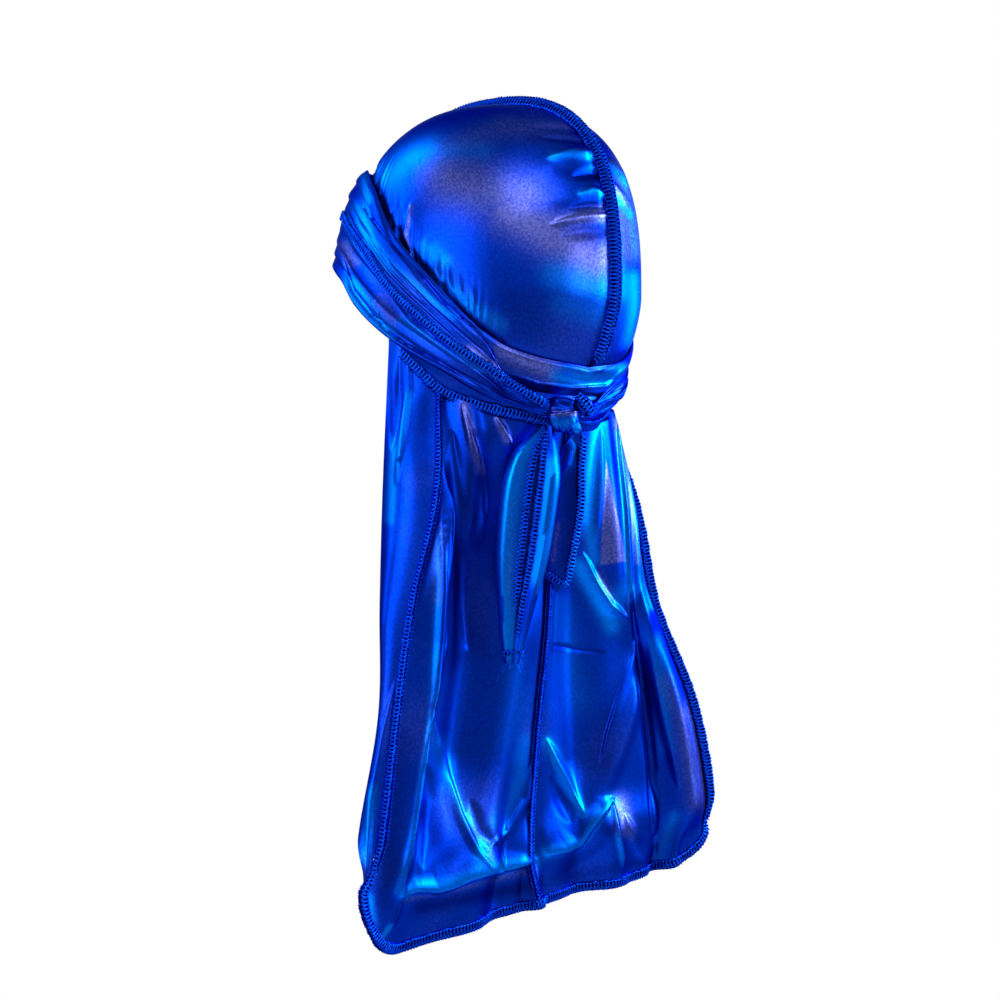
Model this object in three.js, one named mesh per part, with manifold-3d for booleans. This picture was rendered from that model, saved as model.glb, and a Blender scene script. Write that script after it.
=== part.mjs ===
import * as THREE from 'three';
import { mergeVertices } from 'three/addons/utils/BufferGeometryUtils.js';
import Module from 'manifold-3d';

// Satin tie-back head wrap: two-panel cap, two turns of strap, back knot, long tail.
// Millimetres. +Z is up, the wearer faces -Y, the wearer's left is +X.
// The origin is the inner top of the cap, where it sits on the head.

const CLOTH = 1.2;
const GAP = 0.3;
const HEAD_LONG = 97;
const BROW_LONG = 92.5;
const HEAD_WIDE = 78;
const HEAD_RISE = 113;
const WIDEST_LEVEL = 119;
const HEAD_MIDDLE_Y = -9;
const SEAM_SHIFT = 7;
const TOP_LEVEL = WIDEST_LEVEL + HEAD_RISE;
const SEAM_HALF = 1.1;
const SEAM_STAND = 5.6;
const SEAM_LEAN = 0.4;
const HEM_WIDE = 5.5;
const NECK_SEAM_WIDE = 6.4;
const TAIL_DROP = 3.8;
const UNDER_WRAP_OFF = 0.8;
const STRAP_OFF = 2.7;
const CROSSING_OFF = 5.5;
const PLEAT_HIGH = 2.2;
const STRAP_HEM_WIDE = 5;
const HEM_CURL = 8;
const HEM_SWELL = 3;

const SATIN = { color: 0x0a3fd6, roughness: 0.32, metalness: 0.25 };
const SEAM = { color: 0x0a1f9e, roughness: 0.6, metalness: 0.05 };

const rad = THREE.MathUtils.degToRad;
const mix = THREE.MathUtils.lerp;
const smooth = THREE.MathUtils.smoothstep;
const bell = (d) => Math.exp(-d * d);

// Straight-line reading of a two-column table
function table(rows, at) {
  let i = 0;
  while (i < rows.length - 2 && at > rows[i + 1][0]) i += 1;
  const f = THREE.MathUtils.clamp((at - rows[i][0]) / (rows[i + 1][0] - rows[i][0]), 0, 1);
  return mix(rows[i][1], rows[i + 1][1], f * f * (3 - 2 * f) * 0.4 + f * 0.6);
}

// The dome is squarer at the back (c is 1) than at the brow (c is -1)
const squareness = (c) => 2.55 + 0.3 * c;

// Head form
// turn is the angle from the back of the head towards the wearer's left
function headPoint(turn, z, off = 0) {
  const s = Math.sin(rad(turn));
  const c = Math.cos(rad(turn));
  let long = c > 0 ? HEAD_LONG : BROW_LONG;
  let wide = HEAD_WIDE;
  if (z >= WIDEST_LEVEL) {
    const n = squareness(c);
    const k = Math.pow(Math.max(0, 1 - Math.pow((z - WIDEST_LEVEL) / HEAD_RISE, n)), 1 / n);
    long *= k;
    wide *= k;
  } else {
    const below = WIDEST_LEVEL - z;
    if (c > 0) long -= (0.55 * below * below) / (below + 30);
    wide -= 0.0023 * below * below;
  }
  return new THREE.Vector3((wide + off) * s, HEAD_MIDDLE_Y + (long + off) * c, z);
}

// Level of a point on one meridian; reach 0 is the top, 1 the widest level
function meridianLevel(turn, reach) {
  if (reach >= 1) return WIDEST_LEVEL - (reach - 1) * 150;
  const n = squareness(Math.cos(rad(turn)));
  const lift = rad(90 * (1 - reach));
  const long = Math.cos(rad(turn)) > 0 ? HEAD_LONG : BROW_LONG;
  const side = Math.hypot(long * Math.cos(rad(turn)), HEAD_WIDE * Math.sin(rad(turn)));
  const a = Math.pow(Math.cos(lift) / side, n);
  const b = Math.pow(Math.sin(lift) / HEAD_RISE, n);
  return WIDEST_LEVEL + Math.sin(lift) / Math.pow(a + b, 1 / n);
}

function reachOf(turn, z) {
  if (z <= WIDEST_LEVEL) return 1 + (WIDEST_LEVEL - z) / 150;
  let low = 0;
  let high = 1;
  for (let i = 0; i < 30; i += 1) {
    const middle = (low + high) / 2;
    if (meridianLevel(turn, middle) > z) low = middle;
    else high = middle;
  }
  return low;
}

// Neck line: turn, level of the middle of the neck seam
const NECK_LINE = [
  [-92, 76], [-60, 59], [-37, 51], [-9, 43], [4, 43], [36, 48], [55, 53], [72, 61],
  [84, 75], [90, 83], [98, 91],
];
// Front edge of the cap, past the ends of the neck seam: turn, level
const BROW_LINE = [[90, 88], [100, 96], [112, 107], [130, 125], [150, 138], [180, 142]];
const NECK_ENDS = [-90, 90];

const neckLevel = (turn) => table(NECK_LINE, turn);

function capEdgeLevel(turn) {
  const end = turn > 0 ? NECK_ENDS[1] : -NECK_ENDS[0];
  const side = Math.abs(turn);
  const edge = neckLevel(turn) + NECK_SEAM_WIDE / 2 + 3 * GAP;
  return side < end ? edge : Math.max(table(BROW_LINE, side), edge);
}

// Closed pieces from grids

function meshOf(name, positions, faces, look) {
  const geometry = new THREE.BufferGeometry();
  geometry.setAttribute('position', new THREE.Float32BufferAttribute(positions, 3));
  geometry.setIndex(faces);
  const whole = mergeVertices(geometry, 1e-3);
  whole.translate(0, 0, CLOTH - TOP_LEVEL);
  const clean = dropThin(whole);
  clean.computeVertexNormals();
  const mesh = new THREE.Mesh(clean, new THREE.MeshStandardMaterial(look));
  mesh.name = name;
  return mesh;
}

function dropThin(geometry) {
  const index = geometry.index.array;
  const kept = [];
  for (let i = 0; i < index.length; i += 3) {
    const [a, b, c] = [index[i], index[i + 1], index[i + 2]];
    if (a !== b && b !== c && c !== a) kept.push(a, b, c);
  }
  geometry.setIndex(kept);
  return geometry;
}

// Thin sheet with an even wall: surface(u, v) for u and v from 0 to 1, outward side first
function sheet(name, across, down, surface, look = SATIN, wall = CLOTH) {
  const outer = [];
  const inner = [];
  const us = Array.isArray(across) ? across : steps(across);
  const vs = Array.isArray(down) ? down : steps(down);
  for (const v of vs) {
    for (const u of us) {
      const point = surface(u, v);
      outer.push(point);
      inner.push(point.clone().addScaledVector(normalAt(surface, u, v), -wall));
    }
  }
  return shell(name, us.length, vs.length, outer, inner, look);
}

const steps = (n) => Array.from({ length: n + 1 }, (_, i) => i / n);

function normalAt(surface, u, v) {
  const e = 0.004;
  const du = surface(Math.min(1, u + e), v).sub(surface(Math.max(0, u - e), v));
  const w = Math.max(v, 0.01);
  const dv = surface(u, Math.min(1, w + e)).sub(surface(u, Math.max(0, w - e)));
  return du.cross(dv).normalize();
}

// Joins an outer and an inner grid of points into one closed body
function shell(name, columns, rows, outer, inner, look, ring = false) {
  const positions = [];
  for (const p of [...outer, ...inner]) positions.push(p.x, p.y, p.z);
  const half = outer.length;
  const faces = [];
  const quad = (a, b, c, d) => faces.push(a, b, c, a, c, d);
  const spans = ring ? columns : columns - 1;
  for (let j = 0; j < rows - 1; j += 1) {
    for (let i = 0; i < spans; i += 1) {
      const a = j * columns + i;
      const b = j * columns + ((i + 1) % columns);
      const c = b + columns;
      const d = a + columns;
      quad(a, b, c, d);
      quad(half + d, half + c, half + b, half + a);
    }
  }
  const last = (rows - 1) * columns;
  for (let i = 0; i < spans; i += 1) {
    const n = (i + 1) % columns;
    quad(half + i, half + n, n, i);
    quad(last + i, last + n, half + last + n, half + last + i);
  }
  if (!ring) {
    for (let j = 0; j < rows - 1; j += 1) {
      const a = j * columns;
      const b = a + columns;
      quad(half + a, a, b, half + b);
      quad(a + columns - 1, half + a + columns - 1, half + b + columns - 1, b + columns - 1);
    }
  }
  return meshOf(name, positions, turned(positions, faces), look);
}

// Raised seam: a bar swept on stations with a middle, an outward and a side direction
function rail(name, stations, half, low, high, look = SEAM) {
  const positions = [];
  const faces = [];
  for (const { middle, out, side, stand = high } of stations) {
    const top = Math.min(high, stand);
    const corners = [[-half, low], [half, low], [half * 0.8, top], [-half * 0.8, top]];
    for (const [s, o] of corners) {
      const p = middle.clone().addScaledVector(side, s).addScaledVector(out, o);
      positions.push(p.x, p.y, p.z);
    }
  }
  for (let i = 0; i < stations.length - 1; i += 1) {
    for (let k = 0; k < 4; k += 1) {
      const a = i * 4 + k;
      const b = i * 4 + ((k + 1) % 4);
      faces.push(a, b, b + 4, a, b + 4, a + 4);
    }
  }
  const end = (stations.length - 1) * 4;
  faces.push(0, 2, 1, 0, 3, 2, end, end + 1, end + 2, end, end + 2, end + 3);
  return meshOf(name, positions, turned(positions, faces), look);
}

// Faces turned outward when the body came out inside out
function turned(positions, faces) {
  let volume = 0;
  const p = (i) => new THREE.Vector3().fromArray(positions, i * 3);
  for (let i = 0; i < faces.length; i += 3) {
    volume += p(faces[i]).dot(p(faces[i + 1]).cross(p(faces[i + 2])));
  }
  if (volume > 0) return faces;
  const other = [];
  for (let i = 0; i < faces.length; i += 3) other.push(faces[i], faces[i + 2], faces[i + 1]);
  return other;
}

// Cap panels
// Gathers run out sideways from the seam: place along the seam, reach, width, height
const CAP_GATHERS = [
  { along: 56, side: 1, reach: 30, width: 5, high: 1.6 },
  { along: 42, side: 1, reach: 26, width: 4, high: 1.8 },
  { along: 30, side: 1, reach: 34, width: 5, high: 1.6 },
  { along: 49, side: -1, reach: 24, width: 5, high: 1.4 },
  { along: 36, side: -1, reach: 22, width: 5, high: 1.5 },
];

// Nearest point of the head form on the line to its middle
function ontoHead(p) {
  const y = p.y - HEAD_MIDDLE_Y;
  const rise = p.z - WIDEST_LEVEL;
  let long = y > 0 ? HEAD_LONG : BROW_LONG;
  if (rise > 0) {
    const n = squareness(Math.cos(Math.atan2(p.x / HEAD_WIDE, y / long)));
    const r = Math.hypot(p.x / HEAD_WIDE, y / long);
    const k = Math.pow(Math.pow(r, n) + Math.pow(rise / HEAD_RISE, n), -1 / n);
    return new THREE.Vector3(p.x * k, HEAD_MIDDLE_Y + y * k, WIDEST_LEVEL + rise * k);
  }
  if (y > 0) long -= (0.55 * rise * rise) / (30 - rise);
  const k = 1 / Math.hypot(p.x / (HEAD_WIDE - 0.0023 * rise * rise), y / long);
  return new THREE.Vector3(p.x * k, HEAD_MIDDLE_Y + y * k, p.z);
}

function outwardAt(p) {
  const rise = Math.max(0, p.z - WIDEST_LEVEL);
  const y = p.y - HEAD_MIDDLE_Y;
  return new THREE.Vector3(p.x / HEAD_WIDE ** 2, y / HEAD_LONG ** 2, rise / HEAD_RISE ** 2).normalize();
}

function gatherRise(p, side) {
  const along = THREE.MathUtils.radToDeg(Math.atan2(p.z - WIDEST_LEVEL, p.y - HEAD_MIDDLE_Y));
  let rise = 0;
  for (const g of CAP_GATHERS) {
    const near = bell((along - g.along) / g.width) * bell((p.x - SEAM_SHIFT) / g.reach);
    if (g.side === side) rise += g.high * near;
  }
  return rise * smooth(Math.abs(p.x - SEAM_SHIFT), 1.5, 7);
}

// The middle seam sits a little to the left at the back, and centred at the brow
function seamShift(y) {
  return SEAM_SHIFT * smooth(y, -100, 20);
}

function capPanel(name, side) {
  const surface = (u, v) => {
    const turn = side > 0 ? 180 * u : -180 * (1 - u);
    const reach = reachOf(turn, capEdgeLevel(turn)) * v;
    const top = new THREE.Vector3(0, HEAD_MIDDLE_Y, TOP_LEVEL);
    const point = v === 0 ? top : headPoint(turn, meridianLevel(turn, reach));
    const edge = seamShift(point.y) + side * (SEAM_HALF + 2 * GAP);
    point.x = edge + point.x * (1 - (side * edge) / HEAD_WIDE);
    const fitted = ontoHead(point);
    return fitted.addScaledVector(outwardAt(fitted), gatherRise(fitted, side));
  };
  return sheet(name, 24, 10, surface);
}

// The seam stands up over the cap and lies flat under the straps
function capSeam() {
  const stations = [];
  const covers = [[0, underEdge(0) + 1], [180, LEFT_TOP[LEFT_TOP.length - 1][1] + 1.5]];
  for (const [turn, cover] of covers) {
    const end = reachOf(turn, capEdgeLevel(turn));
    const edges = [reachOf(turn, cover), reachOf(turn, cover + 1.3)];
    const reaches = steps(15).map((f) => f * end).filter((r) => Math.abs(r - edges[0]) > 0.03);
    reaches.push(...edges);
    reaches.sort((a, b) => a - b);
    const run = reaches.map((reach) => {
      const level = meridianLevel(turn, reach);
      const middle = reach === 0 ? new THREE.Vector3(0, HEAD_MIDDLE_Y, TOP_LEVEL) : headPoint(turn, level);
      middle.x += seamShift(middle.y);
      middle.copy(ontoHead(middle));
      return { middle, side: new THREE.Vector3(1, 0, 0), stand: level > cover + 1 ? SEAM_STAND : 0.3 };
    });
    if (turn === 0) stations.push(...run.reverse());
    else stations.push(...run.slice(1));
  }
  stations.forEach((station, i) => {
    const next = stations[Math.min(stations.length - 1, i + 1)].middle;
    const last = stations[Math.max(0, i - 1)].middle;
    station.out = next.clone().sub(last).cross(station.side).normalize();
    station.out.x -= station.stand > 1 ? SEAM_LEAN : 0;
    station.out.normalize();
    station.side = station.out.clone().cross(next.clone().sub(last)).normalize().negate();
  });
  return stations;
}

// Straps
// Edges of the first turn round the head: turn from the low point, level
const UNDER_TOP = [
  [0, 75], [22, 79], [39, 86], [49, 95], [62, 106], [82, 128], [104, 156], [130, 178], [188, 186],
];
const UNDER_BOTTOM = [[0, 52], [30, 55], [60, 66], [90, 95], [110, 117], [135, 136], [188, 146]];
const UNDER_TURN = 8;

// Edges of the second turn: turn, level
const LEFT_TOP = [
  [24, 55], [34, 59], [44, 66], [50, 79], [57, 94], [64, 104],
  [76, 124], [90, 148], [110, 181], [135, 196], [210, 199],
];
const LEFT_BOTTOM = [
  [20, 45], [37, 51], [56, 60], [70, 71], [84, 82],
  [93, 90], [111, 110], [125, 128], [145, 138], [210, 140],
];
const LEFT_HEM = [
  [24, 50], [49, 71], [68, 89], [79, 103], [92, 121],
  [104, 142], [118, 157], [138, 170], [210, 172],
];
const RIGHT_TOP = [
  [-12, 52], [0, 55], [15, 66], [40, 76], [50, 84], [60, 95],
  [76, 121], [90, 148], [110, 181], [135, 195], [210, 198],
];
const RIGHT_BOTTOM = [
  [-12, 44], [14, 48], [36, 56], [56, 63], [70, 71], [84, 82],
  [93, 90], [111, 110], [125, 128], [145, 138], [210, 140],
];
const RIGHT_HEM = [
  [-12, 48], [15, 57], [40, 67], [68, 89], [92, 121], [104, 142], [118, 157], [138, 170], [210, 172],
];

function underEdge(turn) {
  return table(UNDER_TOP, Math.abs(turn - UNDER_TURN));
}

function underWrap() {
  const columns = 48;
  const rows = 5;
  const outer = [];
  const inner = [];
  for (let j = 0; j < rows; j += 1) {
    for (let i = 0; i < columns; i += 1) {
      const turn = (360 * i) / columns - 180;
      let side = Math.abs(turn - UNDER_TURN);
      if (side > 180) side = 360 - side;
      const top = table(UNDER_TOP, side);
      const bottom = table(UNDER_BOTTOM, side);
      const level = mix(top, bottom, j / (rows - 1));
      const roll = 0.35 * Math.sin((j / (rows - 1)) * Math.PI * 2);
      outer.push(headPoint(turn, level, UNDER_WRAP_OFF + CLOTH + Math.abs(roll)));
      inner.push(headPoint(turn, level, UNDER_WRAP_OFF));
    }
  }
  return shell('under_wrap', columns, rows, outer, inner, SATIN, true);
}

// Height of the strap over the head: shingled pleats and one raised hem
function strapRise(share, hemShare, turn, wide) {
  const fan = smooth(turn, 10, 60);
  const front = 1 - 0.6 * smooth(turn, 125, 150);
  const count = 4;
  const p = (share * count + 0.15 * Math.sin(turn / 17)) % 1;
  const pleat = Math.sin(Math.PI * Math.pow(Math.abs(p), 1.5));
  const hem = bell(((share - hemShare) * wide) / (STRAP_HEM_WIDE * 0.6));
  return (PLEAT_HIGH * (0.45 + 0.55 * fan) * pleat + 1.1 * hem) * front;
}

function strap(name, side, edges, ends) {
  const surface = (u, v) => {
    const turn = mix(ends[0], ends[1], side > 0 ? u : 1 - u);
    const top = table(edges.top, turn);
    const bottom = table(edges.bottom, turn);
    const hemShare = (top - table(edges.hem, turn)) / (top - bottom);
    const level = mix(top, bottom, v);
    const crossing = side > 0 ? smooth(turn, 118, 148) * (CROSSING_OFF - STRAP_OFF) : 0;
    const lift = 7.5 * (1 - smooth(turn, ends[0], ends[0] + 22));
    const rise = strapRise(v, hemShare, turn, top - bottom);
    return headPoint(side * turn, level, STRAP_OFF + CLOTH + crossing + lift + rise);
  };
  const rows = 9;
  const columns = 36;
  const outer = [];
  const inner = [];
  for (let j = 0; j <= rows; j += 1) {
    for (let i = 0; i <= columns; i += 1) {
      const point = surface(i / columns, j / rows);
      outer.push(point);
      inner.push(point.clone().addScaledVector(normalAt(surface, i / columns, j / rows), -CLOTH));
    }
  }
  return shell(name, columns + 1, rows + 1, outer, inner, SATIN);
}

// Tail
// Guide lines from the neck to the hem: share of the drop, x, y, level
const TAIL_GUIDES = {
  frontLeft: [
    [0.23, 79, -21, 10], [0.455, 88, -15, -55], [0.68, 103, -2, -118], [0.906, 119, -1, -179],
    [1, 129, 4, -203],
  ],
  sideLeft: [
    [0.23, 78, 17, 0], [0.455, 92, 11, -60], [0.68, 104, 10, -120], [0.906, 117, 12, -182], [1, 127, 12, -210],
  ],
  middle: [
    [0.23, 2, 43, -22], [0.455, -2, 34, -84], [0.68, -2, 27, -145], [0.906, -2, 23, -208], [1, -5, 27, -234],
  ],
  sideRight: [
    [0.23, -69, 47, -6], [0.455, -87, 48, -64], [0.68, -114, 56, -122], [0.906, -135, 55, -182],
    [1, -133, 53, -204],
  ],
  frontRight: [
    [0.23, -72, 8, 8], [0.455, -86, 22, -58], [0.68, -108, 38, -118], [0.906, -127, 43, -179],
    [1, -128, 44, -197],
  ],
};
const GUIDE_TURNS = { frontLeft: 97, sideLeft: 75, middle: 3, sideRight: -58, frontRight: -89 };
// How much of the neck's round form is left: share of the drop, amount
const ROUNDNESS = [[0, 1], [0.2, 0.75], [0.45, 0.35], [0.7, 0.15], [1, 0]];
// Round bottom corners: extra drop across the panel, where the round starts
const CORNERS = { left: [40, 0.76], right: [18, 0.58] };

// Folds of the two panels: place across (0 at the middle seam, 1 at the side seam)
// near the neck, half way and at the hem, first and last share of the drop,
// half width, height outward and lean towards the middle seam
const TAIL_FOLDS = [
  { panel: 1, top: 1.1, half: 0.84, foot: 0.95, from: 0.1, to: 1.3, wide: 8, high: 9, lean: 5 },
  { panel: 1, top: 0.62, half: 0.5, foot: 0.55, from: 0.02, to: 0.85, wide: 17, high: -11, lean: 0 },
  { panel: 1, top: 0.82, half: 0.5, foot: 0.4, from: -0.2, to: 0.32, wide: 7, high: 5, lean: 0 },
  { panel: 1, top: 0.2, half: 0.3, foot: 0.4, from: 0.3, to: 1.2, wide: 17, high: 6, lean: 0 },
  { panel: 1, top: 0.1, half: 0.12, foot: 0.22, from: 0.7, to: 1.1, wide: 9, high: -5, lean: 0 },
  { panel: -1, top: 0.53, half: 0.6, foot: 0.6, from: -0.2, to: 0.5, wide: 10, high: 6, lean: 0 },
  { panel: -1, top: 0.83, half: 0.76, foot: 0.7, from: -0.2, to: 0.6, wide: 8, high: 7, lean: -2 },
  { panel: -1, top: 0.74, half: 0.76, foot: 0.76, from: 0.42, to: 1.2, wide: 8, high: -11, lean: 0 },
  { panel: -1, top: 0.85, half: 0.84, foot: 0.86, from: 0.35, to: 1.2, wide: 15, high: 9, lean: 0 },
  { panel: -1, top: 0.9, half: 0.78, foot: 0.1, from: 0.5, to: 0.9, wide: 11, high: 5, lean: 0 },
  { panel: -1, top: 0.25, half: 0.25, foot: 0.3, from: 0.2, to: 1.2, wide: 14, high: -6, lean: 0 },
  { panel: -1, top: 0.1, half: 0.1, foot: 0.45, from: 0.72, to: 1.2, wide: 14, high: 7, lean: 0 },
];

// Smooth curve through the rows of one guide line
function guideCurve(name) {
  const turn = GUIDE_TURNS[name];
  const level = neckLevel(turn) - TAIL_DROP;
  const start = headPoint(turn, level);
  const rows = [[0, start.x, start.y, start.z], ...TAIL_GUIDES[name]];
  return (share) => {
    let i = 0;
    while (i < rows.length - 2 && share > rows[i + 1][0]) i += 1;
    const f = (share - rows[i][0]) / (rows[i + 1][0] - rows[i][0]);
    const before = rows[Math.max(0, i - 1)];
    const after = rows[Math.min(rows.length - 1, i + 2)];
    const value = (k) => {
      const a = rows[i][k];
      const b = rows[i + 1][k];
      const span = rows[i + 1][0] - rows[i][0];
      const sa = ((b - before[k]) / (rows[i + 1][0] - before[0])) * span;
      const sb = ((after[k] - a) / (after[0] - rows[i][0])) * span;
      const f2 = f * f;
      const f3 = f2 * f;
      return a * (2 * f3 - 3 * f2 + 1) + sa * (f3 - 2 * f2 + f) + b * (3 * f2 - 2 * f3) + sb * (f3 - f2);
    };
    return new THREE.Vector3(value(1), value(2), value(3));
  };
}

const GUIDES = Object.fromEntries(Object.keys(TAIL_GUIDES).map((name) => [name, guideCurve(name)]));

// Smooth drape of one panel between two guides, u from the first to the second
function drape(first, second, u, share) {
  const a = GUIDES[first];
  const b = GUIDES[second];
  const turn = mix(GUIDE_TURNS[first], GUIDE_TURNS[second], u);
  const onHead = headPoint(turn, neckLevel(turn) - TAIL_DROP);
  const bulge = onHead.sub(a(0).lerp(b(0), u));
  return a(share).lerp(b(share), u).addScaledVector(bulge, table(ROUNDNESS, share));
}

function foldPlace(fold, share) {
  if (share < 0.5) return mix(fold.top, fold.half, share / 0.5);
  return mix(fold.half, fold.foot, (share - 0.5) / 0.5);
}

// Panel point: u is 0 at the middle seam and 1 at the side seam
function panelPoint(side, u, share) {
  const outer = side > 0 ? 'sideLeft' : 'sideRight';
  const point = drape('middle', outer, u, share);
  const [drop, start] = side > 0 ? CORNERS.left : CORNERS.right;
  const q = Math.max(0, (u - start) / (1 - start));
  const round = 1 - Math.sqrt(Math.max(0, 1 - 0.985 * q * q));
  point.z -= drop * (u - round) * Math.pow(share, 3);
  const chord = GUIDES[outer](share).sub(GUIDES.middle(share));
  const width = chord.length();
  const along = chord.setZ(0).normalize();
  const out = new THREE.Vector3(-along.y * side, along.x * side, 0);
  const hold = smooth(u, 0, 0.07) * (1 - smooth(u, 0.95, 1));
  for (const fold of TAIL_FOLDS) {
    if (fold.panel === side) {
      const near = bell(((u - foldPlace(fold, share)) * width) / fold.wide);
      const fade = smooth(share, fold.from, fold.from + 0.16) * (1 - smooth(share, fold.to - 0.16, fold.to));
      point.addScaledVector(out, fold.high * near * fade * hold);
      point.addScaledVector(along, -fold.lean * near * fade * hold);
    }
  }
  const curl = HEM_SWELL * bell((share - 0.88) / 0.05) - HEM_CURL * smooth(share, 0.89, 1.02);
  point.addScaledVector(out, curl * hold * (1 - q));
  return point;
}

// Share of a panel's width taken by half a seam, the larger of its two edges
function seamEdge(place) {
  const first = place(0.03).distanceTo(place(0));
  const last = place(1).distanceTo(place(0.97));
  return (0.03 * (SEAM_HALF + 2 * GAP)) / Math.min(first, last);
}

function tailPanel(name, side) {
  const surface = (u, v) => {
    const edge = seamEdge((place) => panelPoint(side, place, v));
    const place = side > 0 ? u : 1 - u;
    return panelPoint(side, mix(edge, 1 - edge, place), v);
  };
  return sheet(name, spread(15), 15, surface);
}

// Columns a little closer together at both edges
function spread(n) {
  return Array.from({ length: n + 1 }, (_, i) => {
    const f = i / n;
    return f - (0.35 * Math.sin(2 * Math.PI * f)) / (2 * Math.PI);
  });
}

// Narrow gore in front of a side seam, closing to nothing at the round corner
function gorePoint(side, u, share) {
  const names = side > 0 ? ['sideLeft', 'frontLeft'] : ['sideRight', 'frontRight'];
  const point = drape(names[0], names[1], u, share);
  const chord = GUIDES[names[1]](share).sub(GUIDES[names[0]](share));
  const out = new THREE.Vector3(-chord.y * side, chord.x * side, 0).normalize();
  const swell = Math.sin(Math.PI * u) * smooth(share, 0.02, 0.2) * Math.min(6, chord.length() * 0.25);
  return point.addScaledVector(out, swell);
}

function gore(name, side) {
  const names = side > 0 ? ['sideLeft', 'frontLeft'] : ['sideRight', 'frontRight'];
  const surface = (u, v) => {
    const share = v * (side > 0 ? 0.945 : 0.92);
    const width = gorePoint(side, 0, share).distanceTo(gorePoint(side, 0.1, share)) * 10;
    const edge = Math.min(0.6, (SEAM_HALF + 3 * GAP) / width);
    const place = side > 0 ? u : 1 - u;
    return gorePoint(side, mix(edge, 1, place), share);
  };
  return sheet(name, 4, 14, surface);
}

function guideStations(name, from, to, count) {
  const stations = [];
  const left = name === 'sideLeft';
  for (let i = 0; i <= count; i += 1) {
    const share = mix(from, to, i / count);
    const here = (s) => (name === 'middle' ? panelPoint(1, 0, s) : panelPoint(left ? 1 : -1, 1, s));
    const along = here(share + 0.005).sub(here(share - 0.005)).normalize();
    let flat;
    if (name === 'middle') flat = panelPoint(1, 0.1, share).sub(panelPoint(-1, 0.1, share));
    else if (left) flat = gorePoint(1, 0.25, share).sub(panelPoint(1, 0.93, share));
    else flat = panelPoint(-1, 0.93, share).sub(gorePoint(-1, 0.25, share));
    flat.setZ(0).normalize();
    const out = along.clone().cross(flat).normalize();
    if (out.y < 0 && name === 'middle') out.negate();
    if (name !== 'middle' && out.x * (left ? 1 : -1) + out.y < 0) out.negate();
    stations.push({ middle: here(share), out, side: along.clone().cross(out).normalize() });
  }
  return stations;
}

// Hem: a flat band that carries on from the bottom edge and a little way up both sides
const HEM_UP = 0.045;

// Point of the edge: reach 0 is the middle of the bottom, 1 the corner, 1.1 the upper end
function edgePlace(reach) {
  if (reach <= 1) return { u: Math.sin((Math.PI / 2) * reach), share: 1 };
  return { u: 1, share: 1 - (reach - 1) * 10 * HEM_UP };
}

function edgePoint(side, reach) {
  const { u, share } = edgePlace(reach);
  return panelPoint(side, u, share);
}

function hemStations() {
  const stations = [];
  const reaches = [...steps(22).map((f) => f), 1.04, 1.1];
  const places = [...reaches.map((r) => [1, r]).reverse(), ...reaches.slice(1).map((r) => [-1, r])];
  for (const [side, reach] of places) {
    const middle = edgePoint(side, reach);
    const ahead = edgePoint(side, reach + 0.012).sub(edgePoint(side, Math.max(0, reach - 0.012)));
    ahead.multiplyScalar(-side).normalize();
    const { u, share } = edgePlace(reach);
    const across = panelPoint(side, u, share).sub(panelPoint(side, u - 0.03, share)).multiplyScalar(side);
    const drop = panelPoint(side, u, share).sub(panelPoint(side, u, share - 0.02));
    const face = across.cross(drop).normalize();
    const down = ahead.clone().cross(face).normalize();
    if (down.dot(middle.clone().sub(panelPoint(side, 0.5, 0.5))) < 0) down.negate();
    stations.push({ middle: middle.addScaledVector(face, -CLOTH / 2), out: down, side: face });
  }
  return stations;
}

function neckStations() {
  const stations = [];
  for (let i = 0; i <= 24; i += 1) {
    const turn = mix(NECK_ENDS[1], NECK_ENDS[0], i / 24);
    const level = neckLevel(turn);
    const middle = headPoint(turn, level);
    const up = headPoint(turn, level + 1).sub(headPoint(turn, level - 1)).normalize();
    const along = headPoint(turn - 1, neckLevel(turn - 1)).sub(headPoint(turn + 1, neckLevel(turn + 1)));
    const out = along.normalize().clone().cross(up).normalize();
    if (out.dot(middle.clone().setZ(0)) < 0) out.negate();
    stations.push({ middle, out, side: up });
  }
  return stations;
}

// Knot: a lump with a wrapped band over it and a loop beside it
const KNOT_MIDDLE = [27.4, 68.4, 49.5];
const KNOT_HALF = [9.5, 7.5, 10.5];
const KNOT_TURN = 22;

function ball(half, rows, columns, swell) {
  const positions = [];
  const faces = [];
  for (let j = 0; j <= rows; j += 1) {
    for (let i = 0; i < columns; i += 1) {
      const lift = Math.PI * (j / rows - 0.5);
      const turn = (2 * Math.PI * i) / columns;
      const wide = Math.cos(lift);
      const d = new THREE.Vector3(wide * Math.cos(turn), wide * Math.sin(turn), Math.sin(lift));
      const k = swell(d);
      positions.push(d.x * half[0] * k, d.y * half[1] * k, d.z * half[2] * k);
    }
  }
  for (let j = 0; j < rows; j += 1) {
    for (let i = 0; i < columns; i += 1) {
      const a = j * columns + i;
      const b = j * columns + ((i + 1) % columns);
      faces.push(a, b, b + columns, a, b + columns, a + columns);
    }
  }
  return solidOf(positions, faces);
}

function solidOf(positions, faces) {
  const raw = new THREE.BufferGeometry();
  raw.setAttribute('position', new THREE.Float32BufferAttribute(positions, 3));
  raw.setIndex(faces);
  const merged = dropThin(mergeVertices(raw, 1e-3));
  const points = merged.attributes.position.array;
  const triangles = turned(points, Array.from(merged.index.array));
  return new Manifold(new Mesh({
    numProp: 3,
    vertProperties: new Float32Array(points),
    triVerts: new Uint32Array(triangles),
  }));
}

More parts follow.
